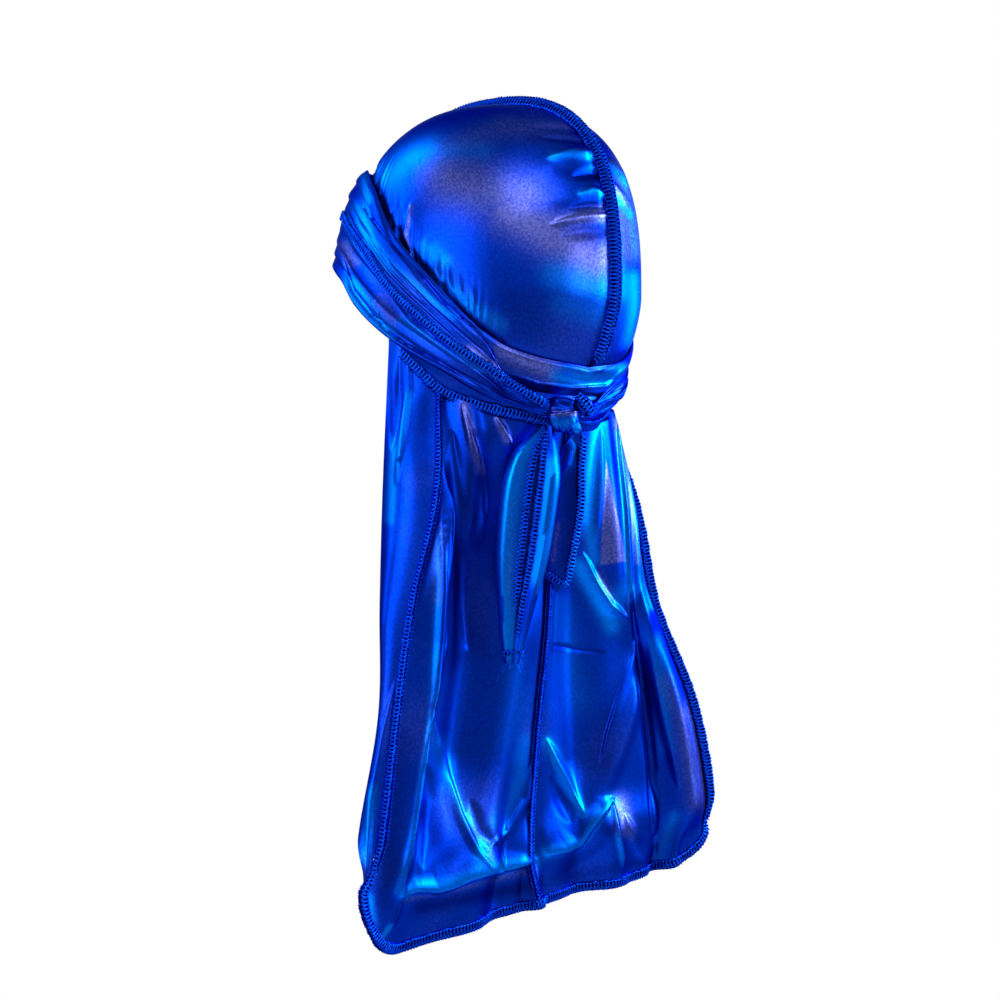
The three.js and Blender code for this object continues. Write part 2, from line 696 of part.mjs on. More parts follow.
function knot() {
  const lump = ball(KNOT_HALF, 10, 16, (d) => {
    const band = bell((d.x + 0.1) / 0.55);
    const grooves = 0.06 * Math.cos(d.x * 14) * (1 - Math.abs(d.z));
    return 0.84 + 0.2 * band + grooves;
  });
  const loop = ball([7, 3.4, 5.2], 6, 12, (d) => 1 - 0.25 * bell(d.z / 0.3) * bell((d.x - 0.2) / 0.5));
  const lobe = ball([4, 4, 4.6], 6, 8, () => 1);
  const joined = lump
    .add(loop.rotate([0, -35, 0]).translate([-9.5, 1, 6.5]))
    .add(lobe.translate([-6.5, 2, -6.5]))
    .rotate([0, 0, -KNOT_TURN])
    .translate(KNOT_MIDDLE);
  const mesh = joined.getMesh();
  const positions = [];
  for (let i = 0; i < mesh.vertProperties.length; i += mesh.numProp) {
    positions.push(mesh.vertProperties[i], mesh.vertProperties[i + 1], mesh.vertProperties[i + 2]);
  }
  return meshOf('knot', positions, Array.from(mesh.triVerts), SATIN);
}

// Hanging ends: share, middle x, y, level, half width, half depth
const LEFT_END = [
  [0, 33.0, 61.8, 41.4, 3.2, 2.4], [0.12, 36.2, 56.5, 25, 13, 3.2], [0.26, 36.6, 53, 6, 16, 3.4],
  [0.5, 36, 47.3, -27, 15, 3], [0.74, 35.3, 42, -58, 10.5, 2.6], [0.92, 34.4, 38.4, -82, 6, 2],
  [1, 34, 37.3, -93, 3.2, 1.6],
];
const RIGHT_END = [
  [0, 17.3, 72, 38.2, 3.2, 2.4], [0.16, 17.9, 67.3, 25, 7.5, 3], [0.5, 15.4, 62.5, -6, 9, 3],
  [0.68, 14.7, 58.7, -23, 8.5, 2.8], [0.87, 14.3, 54.5, -41, 7.5, 2.4], [1, 13.9, 53.4, -52, 2, 1.8],
];

function rowAt(rows, share) {
  let i = 0;
  while (i < rows.length - 2 && share > rows[i + 1][0]) i += 1;
  const f = (share - rows[i][0]) / (rows[i + 1][0] - rows[i][0]);
  const e = 0.5 * f + 0.5 * f * f * (3 - 2 * f);
  return rows[i].map((value, k) => mix(value, rows[i + 1][k], e));
}

// Strap folded lengthwise so that its two hems meet on the outer face
function tieEnd(name, rows, slant, count, split) {
  const face = new THREE.Vector3(0.77, 0.64, 0);
  const acrossAxis = new THREE.Vector3(0.64, -0.77, 0);
  const surface = (u, v) => {
    const [, x, y, z, wide, deep] = rowAt(rows, v);
    const turn = mix(-0.485, 0.485, u) * 2 * Math.PI;
    const px = -Math.sin(turn);
    const py = Math.cos(turn);
    const shift = split * (1 - Math.abs(px)) * wide * Math.max(0, -py);
    const sx = Math.sign(px) * Math.pow(Math.abs(px), 0.8) * wide + shift;
    const dent = 0.5 * bell(px / 0.25) * Math.max(0, -py);
    const sy = Math.sign(py) * Math.pow(Math.abs(py), 0.7) * deep * (1 - dent);
    const point = new THREE.Vector3(x, y, z);
    point.addScaledVector(acrossAxis, sx).addScaledVector(face, -sy);
    point.z += slant * (sx / 10) * smooth(v, 0.6, 1);
    return point;
  };
  const outer = [];
  const inner = [];
  const columns = 12;
  for (let j = 0; j <= count; j += 1) {
    for (let i = 0; i <= columns; i += 1) {
      const point = surface(i / columns, j / count);
      const normal = normalAt(surface, i / columns, j / count);
      outer.push(point.clone().addScaledVector(normal, 0.45));
      inner.push(point.clone().addScaledVector(normal, -0.45));
    }
  }
  return shell(name, columns + 1, count + 1, outer, inner, SATIN);
}

const { Manifold, Mesh } = await loadSolids();

async function loadSolids() {
  const solids = await Module();
  solids.setup();
  return solids;
}

const group = new THREE.Group();
group.name = 'bandana_cap';
group.add(capPanel('crown_left', 1));
group.add(capPanel('crown_right', -1));
group.add(rail('crown_seam', capSeam(), SEAM_HALF, -0.4, SEAM_STAND));
group.add(rail('neck_seam', neckStations(), NECK_SEAM_WIDE / 2, -CLOTH, 1.2));
group.add(underWrap());
group.add(strap('strap_left', 1, { top: LEFT_TOP, bottom: LEFT_BOTTOM, hem: LEFT_HEM }, [26.6, 204]));
group.add(strap('strap_right', -1, { top: RIGHT_TOP, bottom: RIGHT_BOTTOM, hem: RIGHT_HEM }, [-9.8, 204]));
group.add(knot());
group.add(tieEnd('tie_end_left', LEFT_END, 0, 13, 0.25));
group.add(tieEnd('tie_end_right', RIGHT_END, 7, 10, -0.1));
group.add(tailPanel('tail_left', 1));
group.add(tailPanel('tail_right', -1));
group.add(rail('tail_seam', guideStations('middle', 0.002, 0.998, 15), SEAM_HALF, -0.6, SEAM_STAND));
group.add(rail('side_seam_left', guideStations('sideLeft', 0.002, 0.95, 15), SEAM_HALF, -0.6, SEAM_STAND));
group.add(rail('side_seam_right', guideStations('sideRight', 0.002, 0.95, 15), SEAM_HALF, -0.6, SEAM_STAND));
group.add(gore('gore_left', 1));
group.add(gore('gore_right', -1));
group.add(rail('tail_hem', hemStations(), 1.1, 0.5, 0.5 + HEM_WIDE));

export default group;
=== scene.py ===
import math

import bmesh
import bpy
import numpy as np
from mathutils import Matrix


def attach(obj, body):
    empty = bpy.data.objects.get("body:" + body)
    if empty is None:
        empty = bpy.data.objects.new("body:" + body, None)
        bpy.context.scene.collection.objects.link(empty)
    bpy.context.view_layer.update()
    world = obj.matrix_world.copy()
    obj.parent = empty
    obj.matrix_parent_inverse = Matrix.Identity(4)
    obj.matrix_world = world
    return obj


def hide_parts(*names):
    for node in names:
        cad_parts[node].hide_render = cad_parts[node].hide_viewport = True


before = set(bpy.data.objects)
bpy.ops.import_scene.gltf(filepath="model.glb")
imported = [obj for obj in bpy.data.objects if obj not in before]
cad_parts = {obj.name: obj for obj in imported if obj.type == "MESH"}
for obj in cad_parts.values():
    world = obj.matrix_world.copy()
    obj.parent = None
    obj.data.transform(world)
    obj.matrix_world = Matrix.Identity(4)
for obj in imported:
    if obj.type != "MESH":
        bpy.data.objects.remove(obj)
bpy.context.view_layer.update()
print("frame loaded")

# Lengths below are in the part's design millimetres; toRow turns them into row metres
cloth = 1.2
headLong = 97
browLong = 92.5
headWide = 78
headRise = 113
widestLevel = 119
headMiddle = -9
topLevel = widestLevel + headRise
seamOffset = 7
tailDrop = 3.8
hemCurl = 8
hemSwell = 3
# Below its widest level the head form draws in: how far and how soon at the nape, and at the sides
napeHollow = 0.55
napeEase = 30
sideTaper = 0.0023
# A reach of 1 is the widest level, and each of these mm below it adds 1
skirtRun = 150


def toRow(points):
    return (np.asarray(points, float) + [0, 0, cloth - topLevel]) / 1000


def mix(a, b, t):
    return a + (b - a) * t


def smooth(x, low, high):
    t = np.clip((x - low) / (high - low), 0, 1)
    return t * t * (3 - 2 * t)


def bell(d):
    return np.exp(-np.square(d))


def unit(v):
    return v / np.maximum(np.linalg.norm(v, axis=-1, keepdims=True), 1e-12)


def dots(a, b):
    return np.einsum("ij,ij->i", a, b)


def spread(*values):
    return np.broadcast_arrays(*[np.asarray(value, float) for value in values])


# Evens out the values along a line and keeps its ends
def softened(values, passes):
    for _ in range(passes):
        values[1:-1] = (values[:-2] + values[1:-1] * 2 + values[2:]) / 4
    return values


def addObject(name, data):
    obj = bpy.data.objects.new(name, data)
    bpy.context.scene.collection.objects.link(obj)
    return obj


# Smooth reading of a table whose first column rises
def curveAt(rows, at):
    rows = np.asarray(rows, float)
    x = rows[:, 0]
    y = rows[:, 1:]
    step = np.diff(x)
    slope = np.diff(y, axis=0) / step[:, None]
    lean = np.zeros_like(y)
    lean[0] = slope[0]
    lean[-1] = slope[-1]
    first = (2 * step[1:] + step[:-1])[:, None]
    second = (step[1:] + 2 * step[:-1])[:, None]
    same = slope[1:] * slope[:-1] > 0
    before = np.where(same, slope[:-1], 1)
    after = np.where(same, slope[1:], 1)
    lean[1:-1] = np.where(same, (first + second) / (first / before + second / after), 0)
    at = np.asarray(at, float)
    i = np.clip(np.searchsorted(x, at, side="right") - 1, 0, len(x) - 2)
    t = np.clip((at - x[i]) / step[i], 0, 1)[..., None]
    span = step[i][..., None]
    value = (
        y[i] * (1 + 2 * t) * (1 - t) ** 2
        + lean[i] * span * t * (1 - t) ** 2
        + y[i + 1] * t * t * (3 - 2 * t)
        + lean[i + 1] * span * t * t * (t - 1)
    )
    return value[..., 0] if value.shape[-1] == 1 else value


# Camera first: the photo's angle, level, looking at the middle of the piece
cameraSettings = {"away": 1300.0, "lens": 79.09, "sensor": 36.0, "near": 0.05, "far": 60}
backward = np.array([0.766, 0.643, 0.0])
rightward = np.array([-0.643, 0.766, 0.0])
pictureMiddle = 500
pictureScale = 2197


def addCamera():
    s = cameraSettings
    data = bpy.data.cameras.new("photoCamera")
    data.lens = s["lens"]
    data.sensor_width = s["sensor"]
    data.clip_start = s["near"]
    data.clip_end = s["far"]
    camera = addObject("photoCamera", data)
    camera.location = toRow(backward * s["away"])
    heading = math.atan2(backward[1], backward[0]) + math.pi / 2
    camera.rotation_euler = (math.pi / 2, 0, heading)
    bpy.context.scene.camera = camera


# Where a design point shows in a 1000 by 1000 picture from that camera
def shownAt(points):
    across = points @ rightward
    depth = points @ backward
    scale = pictureScale / (cameraSettings["away"] - depth)
    return pictureMiddle + across * scale, pictureMiddle - points[..., 2] * scale


addCamera()
print("camera set")


# Head form: turn is the angle from the back of the head towards the wearer's left
def squareness(c):
    return 2.55 + 0.3 * c


def headPoint(turn, z, off=0.0):
    turn, z, off = spread(turn, z, off)
    s = np.sin(np.radians(turn))
    c = np.cos(np.radians(turn))
    long = np.where(c > 0, headLong, browLong).astype(float)
    n = squareness(c)
    above = np.clip((z - widestLevel) / headRise, 0, 1)
    k = np.power(np.maximum(0, 1 - np.power(above, n)), 1 / n)
    below = np.maximum(0, widestLevel - z)
    hollow = napeHollow * below * below / (below + napeEase)
    long = long * k - np.where(c > 0, hollow, 0)
    wide = headWide * k - sideTaper * below * below
    return np.stack([(wide + off) * s, headMiddle + (long + off) * c, z], -1)


def meridianLevel(turn, reach):
    turn, reach = spread(turn, reach)
    c = np.cos(np.radians(turn))
    s = np.sin(np.radians(turn))
    n = squareness(c)
    lift = np.radians(90 * (1 - np.clip(reach, 0, 1)))
    long = np.where(c > 0, headLong, browLong)
    side = np.hypot(long * c, headWide * s)
    a = np.power(np.cos(lift) / side, n)
    b = np.power(np.sin(lift) / headRise, n)
    high = widestLevel + np.sin(lift) / np.power(a + b, 1 / n)
    return np.where(reach >= 1, widestLevel - (reach - 1) * skirtRun, high)


def reachOf(turn, z):
    turn, z = spread(turn, z)
    low = np.zeros(turn.shape)
    high = np.ones(turn.shape)
    for _ in range(30):
        middle = (low + high) / 2
        above = meridianLevel(turn, middle) > z
        low = np.where(above, middle, low)
        high = np.where(above, high, middle)
    return np.where(z <= widestLevel, 1 + (widestLevel - z) / skirtRun, low)


neckLine = [
    [-92, 76], [-60, 59], [-37, 51], [-9, 43], [4, 43], [36, 48],
    [55, 53], [72, 61], [84, 75], [90, 83], [98, 91],
]
browLine = [[90, 88], [100, 96], [112, 107], [130, 125], [150, 138], [180, 142]]
neckEnds = [-90, 90]
neckSeamWide = 6.4


def neckLevel(turn):
    return curveAt(neckLine, turn)


def capEdgeLevel(turn):
    turn = np.asarray(turn, float)
    edge = neckLevel(turn) + neckSeamWide / 2
    end = np.where(turn > 0, neckEnds[1], -neckEnds[0])
    brow = np.maximum(curveAt(browLine, np.abs(turn)), edge)
    return np.where(np.abs(turn) < end, edge, brow)


# Meshes from grids of points
def normalsOf(points, ring=False):
    if ring:
        across = np.roll(points, -1, 1) - np.roll(points, 1, 1)
    else:
        across = np.gradient(points, axis=1)
    down = np.gradient(points, axis=0)
    normals = np.cross(across, down)
    size = np.linalg.norm(normals, axis=-1, keepdims=True)
    normals = normals / np.maximum(size, 1e-9)
    for row, other in ((0, 1), (-1, -2)):
        thin = size[row, :, 0] < 1e-6
        normals[row][thin] = normals[other][thin]
    return normals


def addMesh(name, points, faces, flat=None, marks=None):
    mesh = bpy.data.meshes.new(name)
    mesh.from_pydata(toRow(points).tolist(), [], faces)
    if flat is not None:
        layer = mesh.uv_layers.new(name="cut")
        corners = np.zeros(len(mesh.loops), int)
        mesh.loops.foreach_get("vertex_index", corners)
        layer.data.foreach_set("uv", np.asarray(flat, float)[corners].ravel())
    for key, values in (marks or {}).items():
        mark = mesh.attributes.new(key, "FLOAT", "POINT")
        mark.data.foreach_set("value", np.asarray(values, float).ravel())
    work = bmesh.new()
    work.from_mesh(mesh)
    bmesh.ops.remove_doubles(work, verts=work.verts, dist=2e-6)
    bmesh.ops.dissolve_degenerate(work, edges=work.edges, dist=1e-7)
    bmesh.ops.triangulate(work, faces=[f for f in work.faces if len(f.verts) > 4])
    work.to_mesh(mesh)
    work.free()
    mesh.shade_smooth()
    mesh.set_sharp_from_angle(angle=math.radians(62))
    return addObject(name, mesh)


def gridFaces(index):
    a, b = index[:-1, :-1].ravel(), index[:-1, 1:].ravel()
    c, d = index[1:, 1:].ravel(), index[1:, :-1].ravel()
    return np.stack([a, b, c, d], 1).tolist()


# A cloth of even wall whose outward face is a grid of rows of points; the inner face is three times coarser
def addCloth(name, outer, wall, marks, ring=False):
    rows, columns = outer.shape[:2]
    inner = (outer - normalsOf(outer, ring) * wall)[::3, ::3]
    points = np.concatenate([outer.reshape(-1, 3), inner.reshape(-1, 3)])
    index = np.arange(rows * columns).reshape(rows, columns)
    back = np.arange(inner.shape[0] * inner.shape[1]).reshape(inner.shape[:2]) + rows * columns
    if ring:
        index = np.concatenate([index, index[:, :1]], 1)
        back = np.concatenate([back, back[:, :1]], 1)
    faces = gridFaces(index) + [face[::-1] for face in gridFaces(back)]
    # Rims join each coarse step to its three fine ones
    rims = [(index[0][::-1], back[0][::-1]), (index[-1], back[-1])]
    if not ring:
        rims += [(index[:, 0], back[:, 0]), (index[::-1, -1], back[::-1, -1])]
    for fine, coarse in rims:
        for k in range(len(coarse) - 1):
            near = fine[3 * k : 3 * k + 4].tolist()
            faces.append(near + [int(coarse[k + 1]), int(coarse[k])])
    across = np.linalg.norm(np.diff(outer, axis=1), axis=-1).sum(1).mean() / 1000
    down = np.linalg.norm(np.diff(outer, axis=0), axis=-1).sum(0).mean() / 1000
    u, v = np.meshgrid(np.linspace(0, across, columns), np.linspace(0, down, rows))
    flat = np.stack([u, v], -1)
    flat = np.concatenate([flat.reshape(-1, 2), flat[::3, ::3].reshape(-1, 2)])
    both = {}
    for key, value in marks.items():
        both[key] = np.concatenate([value.ravel(), value[::3, ::3].ravel()])
    return addMesh(name, points, faces, flat, both)


# A band swept along stations: across is its width and out its face
def addBand(name, middle, across, out, halfWide, halfThick, sides=12):
    count = len(middle)
    turns = np.linspace(0, 2 * math.pi, sides, endpoint=False) + math.pi / sides
    wide = np.sign(np.cos(turns)) * np.abs(np.cos(turns)) ** 0.55
    thick = np.sign(np.sin(turns)) * np.abs(np.sin(turns)) ** 0.7
    halfWide = np.broadcast_to(halfWide, (count,))[:, None, None]
    halfThick = np.broadcast_to(halfThick, (count,))[:, None, None]
    ring = middle[:, None] + across[:, None] * wide[None, :, None] * halfWide
    ring = ring + out[:, None] * thick[None, :, None] * halfThick
    points = ring.reshape(-1, 3)
    faces = []
    for j in range(count - 1):
        for i in range(sides):
            a = j * sides + i
            b = j * sides + (i + 1) % sides
            faces.append([a, b, b + sides, a + sides])
    faces.append(list(range(sides))[::-1])
    faces.append([(count - 1) * sides + i for i in range(sides)])
    swept = dots(np.cross(across, out), np.gradient(middle, axis=0)).mean()
    if swept < 0:
        faces = [face[::-1] for face in faces]
    return addMesh(name, points, faces, np.zeros((len(points), 2)))


# Even steps along a line of points, and other values read at the same places
def evened(step, line, *others):
    lengths = np.concatenate([[0], np.cumsum(np.linalg.norm(np.diff(line, axis=0), axis=-1))])
    at = np.linspace(0, lengths[-1], max(2, int(round(lengths[-1] / step)) + 1))
    result = []
    for values in (line, *others):
        values = np.asarray(values, float)
        flat = values.reshape(len(values), -1)
        read = np.stack([np.interp(at, lengths, flat[:, k]) for k in range(flat.shape[1])], 1)
        result.append(read.reshape(len(at), *values.shape[1:]))
    return result


# Share of each mark's amount at a point: marks are line pieces in the picture with a soft radius
def paintedBy(zones, px, py):
    total = np.zeros(px.shape)
    for x0, y0, x1, y1, radius, amount in zones:
        run = max((x1 - x0) ** 2 + (y1 - y0) ** 2, 1e-9)
        t = np.clip(((px - x0) * (x1 - x0) + (py - y0) * (y1 - y0)) / run, 0, 1)
        d = np.hypot(px - mix(x0, x1, t), py - mix(y0, y1, t))
        total = np.maximum(total, amount * bell(d / radius))
    return total


# Painted highlight and painted shade: lines in the picture with a soft radius and an amount, a painted
# highlight above nought and painted shade below it
def paintedLightBy(zones, px, py):
    lighter, deeper = [], []
    for line, radius, amount in zones:
        for (x0, y0), (x1, y1) in zip(line, line[1:]):
            (lighter if amount > 0 else deeper).append((x0, y0, x1, y1, radius, abs(amount)))
    return paintedBy(lighter, px, py) - paintedBy(deeper, px, py)


# Creases follow short lines in the picture: points, half width in pixels, height in mm, steep side
def creased(creases, px, py):
    total = np.zeros(px.shape)
    for line, wide, high, steep in creases:
        line = np.asarray(line, float)
        lengths = np.concatenate([[0], np.cumsum(np.hypot(*np.diff(line, axis=0).T))])
        best = np.full(px.shape, 1e9)
        side = np.zeros(px.shape)
        place = np.zeros(px.shape)
        for k in range(len(line) - 1):
            x0, y0 = line[k]
            dx, dy = line[k + 1] - line[k]
            run = max(dx * dx + dy * dy, 1e-9)
            t = np.clip(((px - x0) * dx + (py - y0) * dy) / run, 0, 1)
            d = np.hypot(px - x0 - dx * t, py - y0 - dy * t)
            near = d < best
            best = np.where(near, d, best)
            side = np.where(near, np.sign(dx * (py - y0) - dy * (px - x0)), side)
            place = np.where(near, (lengths[k] + t * math.sqrt(run)) / lengths[-1], place)
        width = wide * np.where(side > 0, 1 + steep, 1 - steep)
        taper = np.sqrt(np.clip(np.sin(np.pi * np.clip(place, 0, 1)), 0, 1))
        total += high * bell(best / np.maximum(width * taper, 0.3)) * taper
    return total


# Materials
satinSettings = {
    "deep": (0.0006, 0.034, 0.51, 1),
    # lilac is the colour of the painted lilac highlight, and also of the random lilac cloud; light is the
    # painted highlight colour and shaded the painted shade colour
    "lilac": (0.095, 0.115, 0.46, 1),
    "light": (0.0, 0.19, 1.0, 1),
    "shaded": (0.0, 0.004, 0.16, 1),
    "edge": (0.15, 0.3, 0.8, 1),
    "roughness": 0.35,
    "grainPerMetre": 700.0,
    "grainTone": (0.6, 1.4),
    "grainStrength": 0.4,
    "patchPerMetre": 17.0,
    "patchLilac": 0.14,
}
threadSettings = {"tone": (0.55, 1.35), "edge": (0.01, 0.06, 0.8, 1)}


# An input is given as a value, or as the socket that feeds it
def setInputs(tree, node, inputs):
    for key, value in inputs.items():
        if isinstance(value, bpy.types.NodeSocket):
            tree.links.new(value, node.inputs[key])
        else:
            node.inputs[key].default_value = value


def addNode(tree, kind, inputs, **settings):
    node = tree.nodes.new(kind)
    for key, value in settings.items():
        setattr(node, key, value)
    setInputs(tree, node, inputs)
    return node


def ranged(tree, value, start, end):
    inputs = {"Value": value, "From Min": start[0], "From Max": start[1], "To Min": end[0], "To Max": end[1]}
    return addNode(tree, "ShaderNodeMapRange", inputs).outputs["Result"]


def noise(tree, scale, detail):
    place = addNode(tree, "ShaderNodeTexCoord", {}).outputs["Object"]
    inputs = {"Scale": scale, "Detail": detail, "Vector": place}
    return addNode(tree, "ShaderNodeTexNoise", inputs).outputs["Fac"]


def maths(tree, operation, first, second, clamp=False):
    node = addNode(tree, "ShaderNodeMath", {0: first, 1: second}, operation=operation, use_clamp=clamp)
    return node.outputs["Value"]


def mixed(tree, factor, a, b, blend="MIX"):
    inputs = {"Factor": factor, "A": a, "B": b}
    return addNode(tree, "ShaderNodeMix", inputs, data_type="RGBA", blend_type=blend).outputs["Result"]


def bumped(tree, height, strength, distance):
    inputs = {"Strength": strength, "Distance": distance, "Height": height}
    return addNode(tree, "ShaderNodeBump", inputs).outputs["Normal"]


def marked(tree, name):
    return addNode(tree, "ShaderNodeAttribute", {}, attribute_name=name).outputs["Fac"]


def newMaterial(name):
    material = bpy.data.materials.new(name)
    material.use_nodes = True
    tree = material.node_tree
    return material, tree, next(n for n in tree.nodes if n.type == "BSDF_PRINCIPLED")


def satinCloth():
    s = satinSettings
    material, tree, shader = newMaterial("royalSatin")
    patch = noise(tree, s["patchPerMetre"], 1.5)
    grain = noise(tree, s["grainPerMetre"], 1.0)
    grainTone = ranged(tree, grain, (0.3, 0.7), s["grainTone"])
    cloudy = ranged(tree, patch, (0.5, 0.8), (0, s["patchLilac"]))
    # Random lilac cloud, with the painted lilac highlight laid over it
    lilac = maths(tree, "MAXIMUM", cloudy, marked(tree, "paintedLilacSheen"))
    colour = mixed(tree, maths(tree, "MULTIPLY", lilac, grainTone, clamp=True), s["deep"], s["lilac"])
    # Painted highlight above nought and painted shade below it
    paintedLight = marked(tree, "paintedHighlightShade")
    for tint, sign in (("light", 1), ("shaded", -1)):
        colour = mixed(tree, maths(tree, "MULTIPLY", paintedLight, sign, clamp=True), colour, s[tint])
    colour = mixed(tree, s["grainStrength"], colour, grainTone, "MULTIPLY")
    wanted = {
        "Base Color": colour,
        "Roughness": ranged(tree, patch, (0, 1), (s["roughness"] - 0.05, s["roughness"] + 0.07)),
        "Normal": bumped(tree, grain, 0.10, 0.0003),
        "Metallic": 1,
        "Specular Tint": s["edge"],
    }
    setInputs(tree, shader, wanted)
    return material


def threadCloth(name, colour, metal, roughness, scale):
    s = threadSettings
    material, tree, shader = newMaterial(name)
    grain = noise(tree, scale, 2.0)
    wanted = {
        "Base Color": mixed(tree, 1, colour, ranged(tree, grain, (0.3, 0.7), s["tone"]), "MULTIPLY"),
        "Normal": bumped(tree, grain, 0.5, 0.0004),
        "Metallic": metal,
        "Roughness": roughness,
        "Specular Tint": s["edge"],
    }
    setInputs(tree, shader, wanted)
    return material


satin = satinCloth()
seamCloth = threadCloth("seamCloth", (0.0, 0.002, 0.14, 1), 1.0, 0.55, 1400)
stitchThread = threadCloth("stitchThread", (0.0, 0.08, 0.9, 1), 1.0, 0.28, 900)
print("materials made")

pieces = []


def finishPiece(obj, material, nodes):
    obj.data.materials.append(material)
    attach(obj, "root")
    if nodes:
        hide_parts(*nodes)
    pieces.append(obj)
    return obj


# Overlock stitches: one V of thread with a chain loop, repeated along every seam
stitchSettings = {"thread": 0.00040, "wide": 0.0044, "pitch": 0.0022, "unevenness": 0.12, "seed": 7}


def stitchShape():
    s = stitchSettings
    w = s["wide"] / 2
    p = s["pitch"]
    path = [(-0.42, -1.0, 0.1), (-0.05, -0.55, 0.75), (0.3, 0.85, 0.8), (0.62, 1.08, 0.1)]
    other = [(0.62, -1.0, 0.1), (0.42, -0.4, 0.65), (0.12, 0.9, 0.7), (-0.28, 1.08, 0.1)]
    points = []
    faces = []
    for line in (path, other):
        line = np.array(line) * [p, w, s["thread"]]
        start = len(points)
        ahead = unit(np.gradient(line, axis=0))
        sideways = unit(np.cross(ahead, [0, 0, 1]))
        upward = np.cross(sideways, ahead)
        for k, place in enumerate(line):
            for turn in (45, 135, 225, 315):
                c, d = math.cos(math.radians(turn)), math.sin(math.radians(turn))
                points.append(place + s["thread"] * (sideways[k] * c + upward[k] * d))
        for k in range(len(line) - 1):
            for i in range(4):
                a = start + k * 4 + i
                b = start + k * 4 + (i + 1) % 4
                faces.append([a, b, b + 4, a + 4])
        last = start + 4 * (len(line) - 1)
        faces.append([start + 3, start + 2, start + 1, start])
        faces.append([last, last + 1, last + 2, last + 3])
    mesh = bpy.data.meshes.new("oneStitch")
    mesh.from_pydata([list(map(float, p)) for p in points], [], faces)
    work = bmesh.new()
    work.from_mesh(mesh)
    bmesh.ops.recalc_face_normals(work, faces=work.faces)
    work.to_mesh(mesh)
    work.free()
    mesh.shade_smooth()
    return bpy.data.objects.new("oneStitch", mesh)


def stitchTree():
    tree = bpy.data.node_groups.new("overlockStitches", "GeometryNodeTree")
    wanted = [
        ("Geometry", "NodeSocketGeometry"),
        ("Stitch", "NodeSocketObject"),
        ("Thread", "NodeSocketMaterial"),
        ("Unevenness", "NodeSocketFloat"),
        ("Seed", "NodeSocketInt"),
    ]
    for label, kind in wanted:
        tree.interface.new_socket(label, in_out="INPUT", socket_type=kind)
    tree.interface.new_socket("Geometry", in_out="OUTPUT", socket_type="NodeSocketGeometry")
    entry = addNode(tree, "NodeGroupInput", {}).outputs
    named = {}
    for key in ("facing", "along", "size"):
        found = addNode(tree, "GeometryNodeInputNamedAttribute", {}, data_type="FLOAT_VECTOR")
        found.inputs["Name"].default_value = key
        named[key] = found.outputs["Attribute"]
    towards = {"Primary Axis": named["facing"], "Secondary Axis": named["along"]}
    axes = addNode(tree, "FunctionNodeAxesToRotation", {}, primary_axis="Z", secondary_axis="X")
    setInputs(tree, axes, towards)
    shape = addNode(tree, "GeometryNodeObjectInfo", {"Object": entry["Stitch"]})
    chance = addNode(tree, "FunctionNodeRandomValue", {"Seed": entry["Seed"]}, data_type="FLOAT")
    floats = [socket for socket in chance.inputs if socket.type == "VALUE"]
    tree.links.new(maths(tree, "SUBTRACT", 1, entry["Unevenness"]), floats[0])
    tree.links.new(maths(tree, "ADD", 1, entry["Unevenness"]), floats[1])
    factor = [socket for socket in chance.outputs if socket.type == "VALUE"][0]
    scaled = addNode(tree, "ShaderNodeVectorMath", {}, operation="SCALE")
    setInputs(tree, scaled, {"Vector": named["size"], "Scale": factor})
    placed = {
        "Points": entry["Geometry"],
        "Instance": shape.outputs["Geometry"],
        "Rotation": axes.outputs["Rotation"],
        "Scale": scaled.outputs["Vector"],
    }
    spots = addNode(tree, "GeometryNodeInstanceOnPoints", placed)
    whole = addNode(tree, "GeometryNodeRealizeInstances", {"Geometry": spots.outputs["Instances"]})
    coloured = {"Geometry": whole.outputs["Geometry"], "Material": entry["Thread"]}
    painted = addNode(tree, "GeometryNodeSetMaterial", coloured)
    addNode(tree, "NodeGroupOutput", {"Geometry": painted.outputs["Geometry"]})
    return tree


oneStitch = stitchShape()
overlockTree = stitchTree()


# Stitches along a line in design mm; wide is the real width of the row there, in mm
def addStitches(name, middle, across, out, wide):
    s = stitchSettings
    wide = np.broadcast_to(np.asarray(wide, float), (len(middle),))
    middle, across, out, wide = evened(s["pitch"] * 1000, middle, across, out, wide)
    along = unit(np.gradient(middle, axis=0))
    out = unit(out)
    mesh = bpy.data.meshes.new(name)
    mesh.from_pydata(toRow(middle).tolist(), [], [])
    handed = np.sign(dots(np.cross(out, along), unit(across)))
    size = np.stack([np.ones(len(wide)), handed * wide / (s["wide"] * 1000), np.ones(len(wide))], 1)
    for key, values in (("along", along), ("facing", out), ("size", np.abs(size))):
        mark = mesh.attributes.new(key, "FLOAT_VECTOR", "POINT")
        mark.data.foreach_set("vector", values.ravel())
    obj = addObject(name, mesh)
    modifier = obj.modifiers.new("overlock", "NODES")
    modifier.node_group = overlockTree
    ids = {item.name: item.identifier for item in overlockTree.interface.items_tree if item.in_out == "INPUT"}
    modifier[ids["Stitch"]] = oneStitch
    modifier[ids["Thread"]] = stitchThread
    modifier[ids["Unevenness"]] = s["unevenness"]
    modifier[ids["Seed"]] = s["seed"] + len(pieces)
    graph = bpy.context.evaluated_depsgraph_get()
    made = bpy.data.meshes.new_from_object(obj.evaluated_get(graph))
    obj.modifiers.clear()
    obj.data = made
    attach(obj, "root")
    pieces.append(obj)
    return obj


# Painted lilac highlight and painted highlight and shade of a satin piece whose points show at px and py;
# shown fades both where it turns away
def satinMarks(lilac, paintedLight, px, py, shown=1.0):
    return {"paintedLilacSheen": paintedBy(lilac, px, py) * shown, "paintedHighlightShade": paintedLightBy(paintedLight, px, py) * shown}


def satinPiece(name, point, wall, marks, node, ring=False):
    return finishPiece(addCloth(name, point, wall, marks, ring), satin, [node])


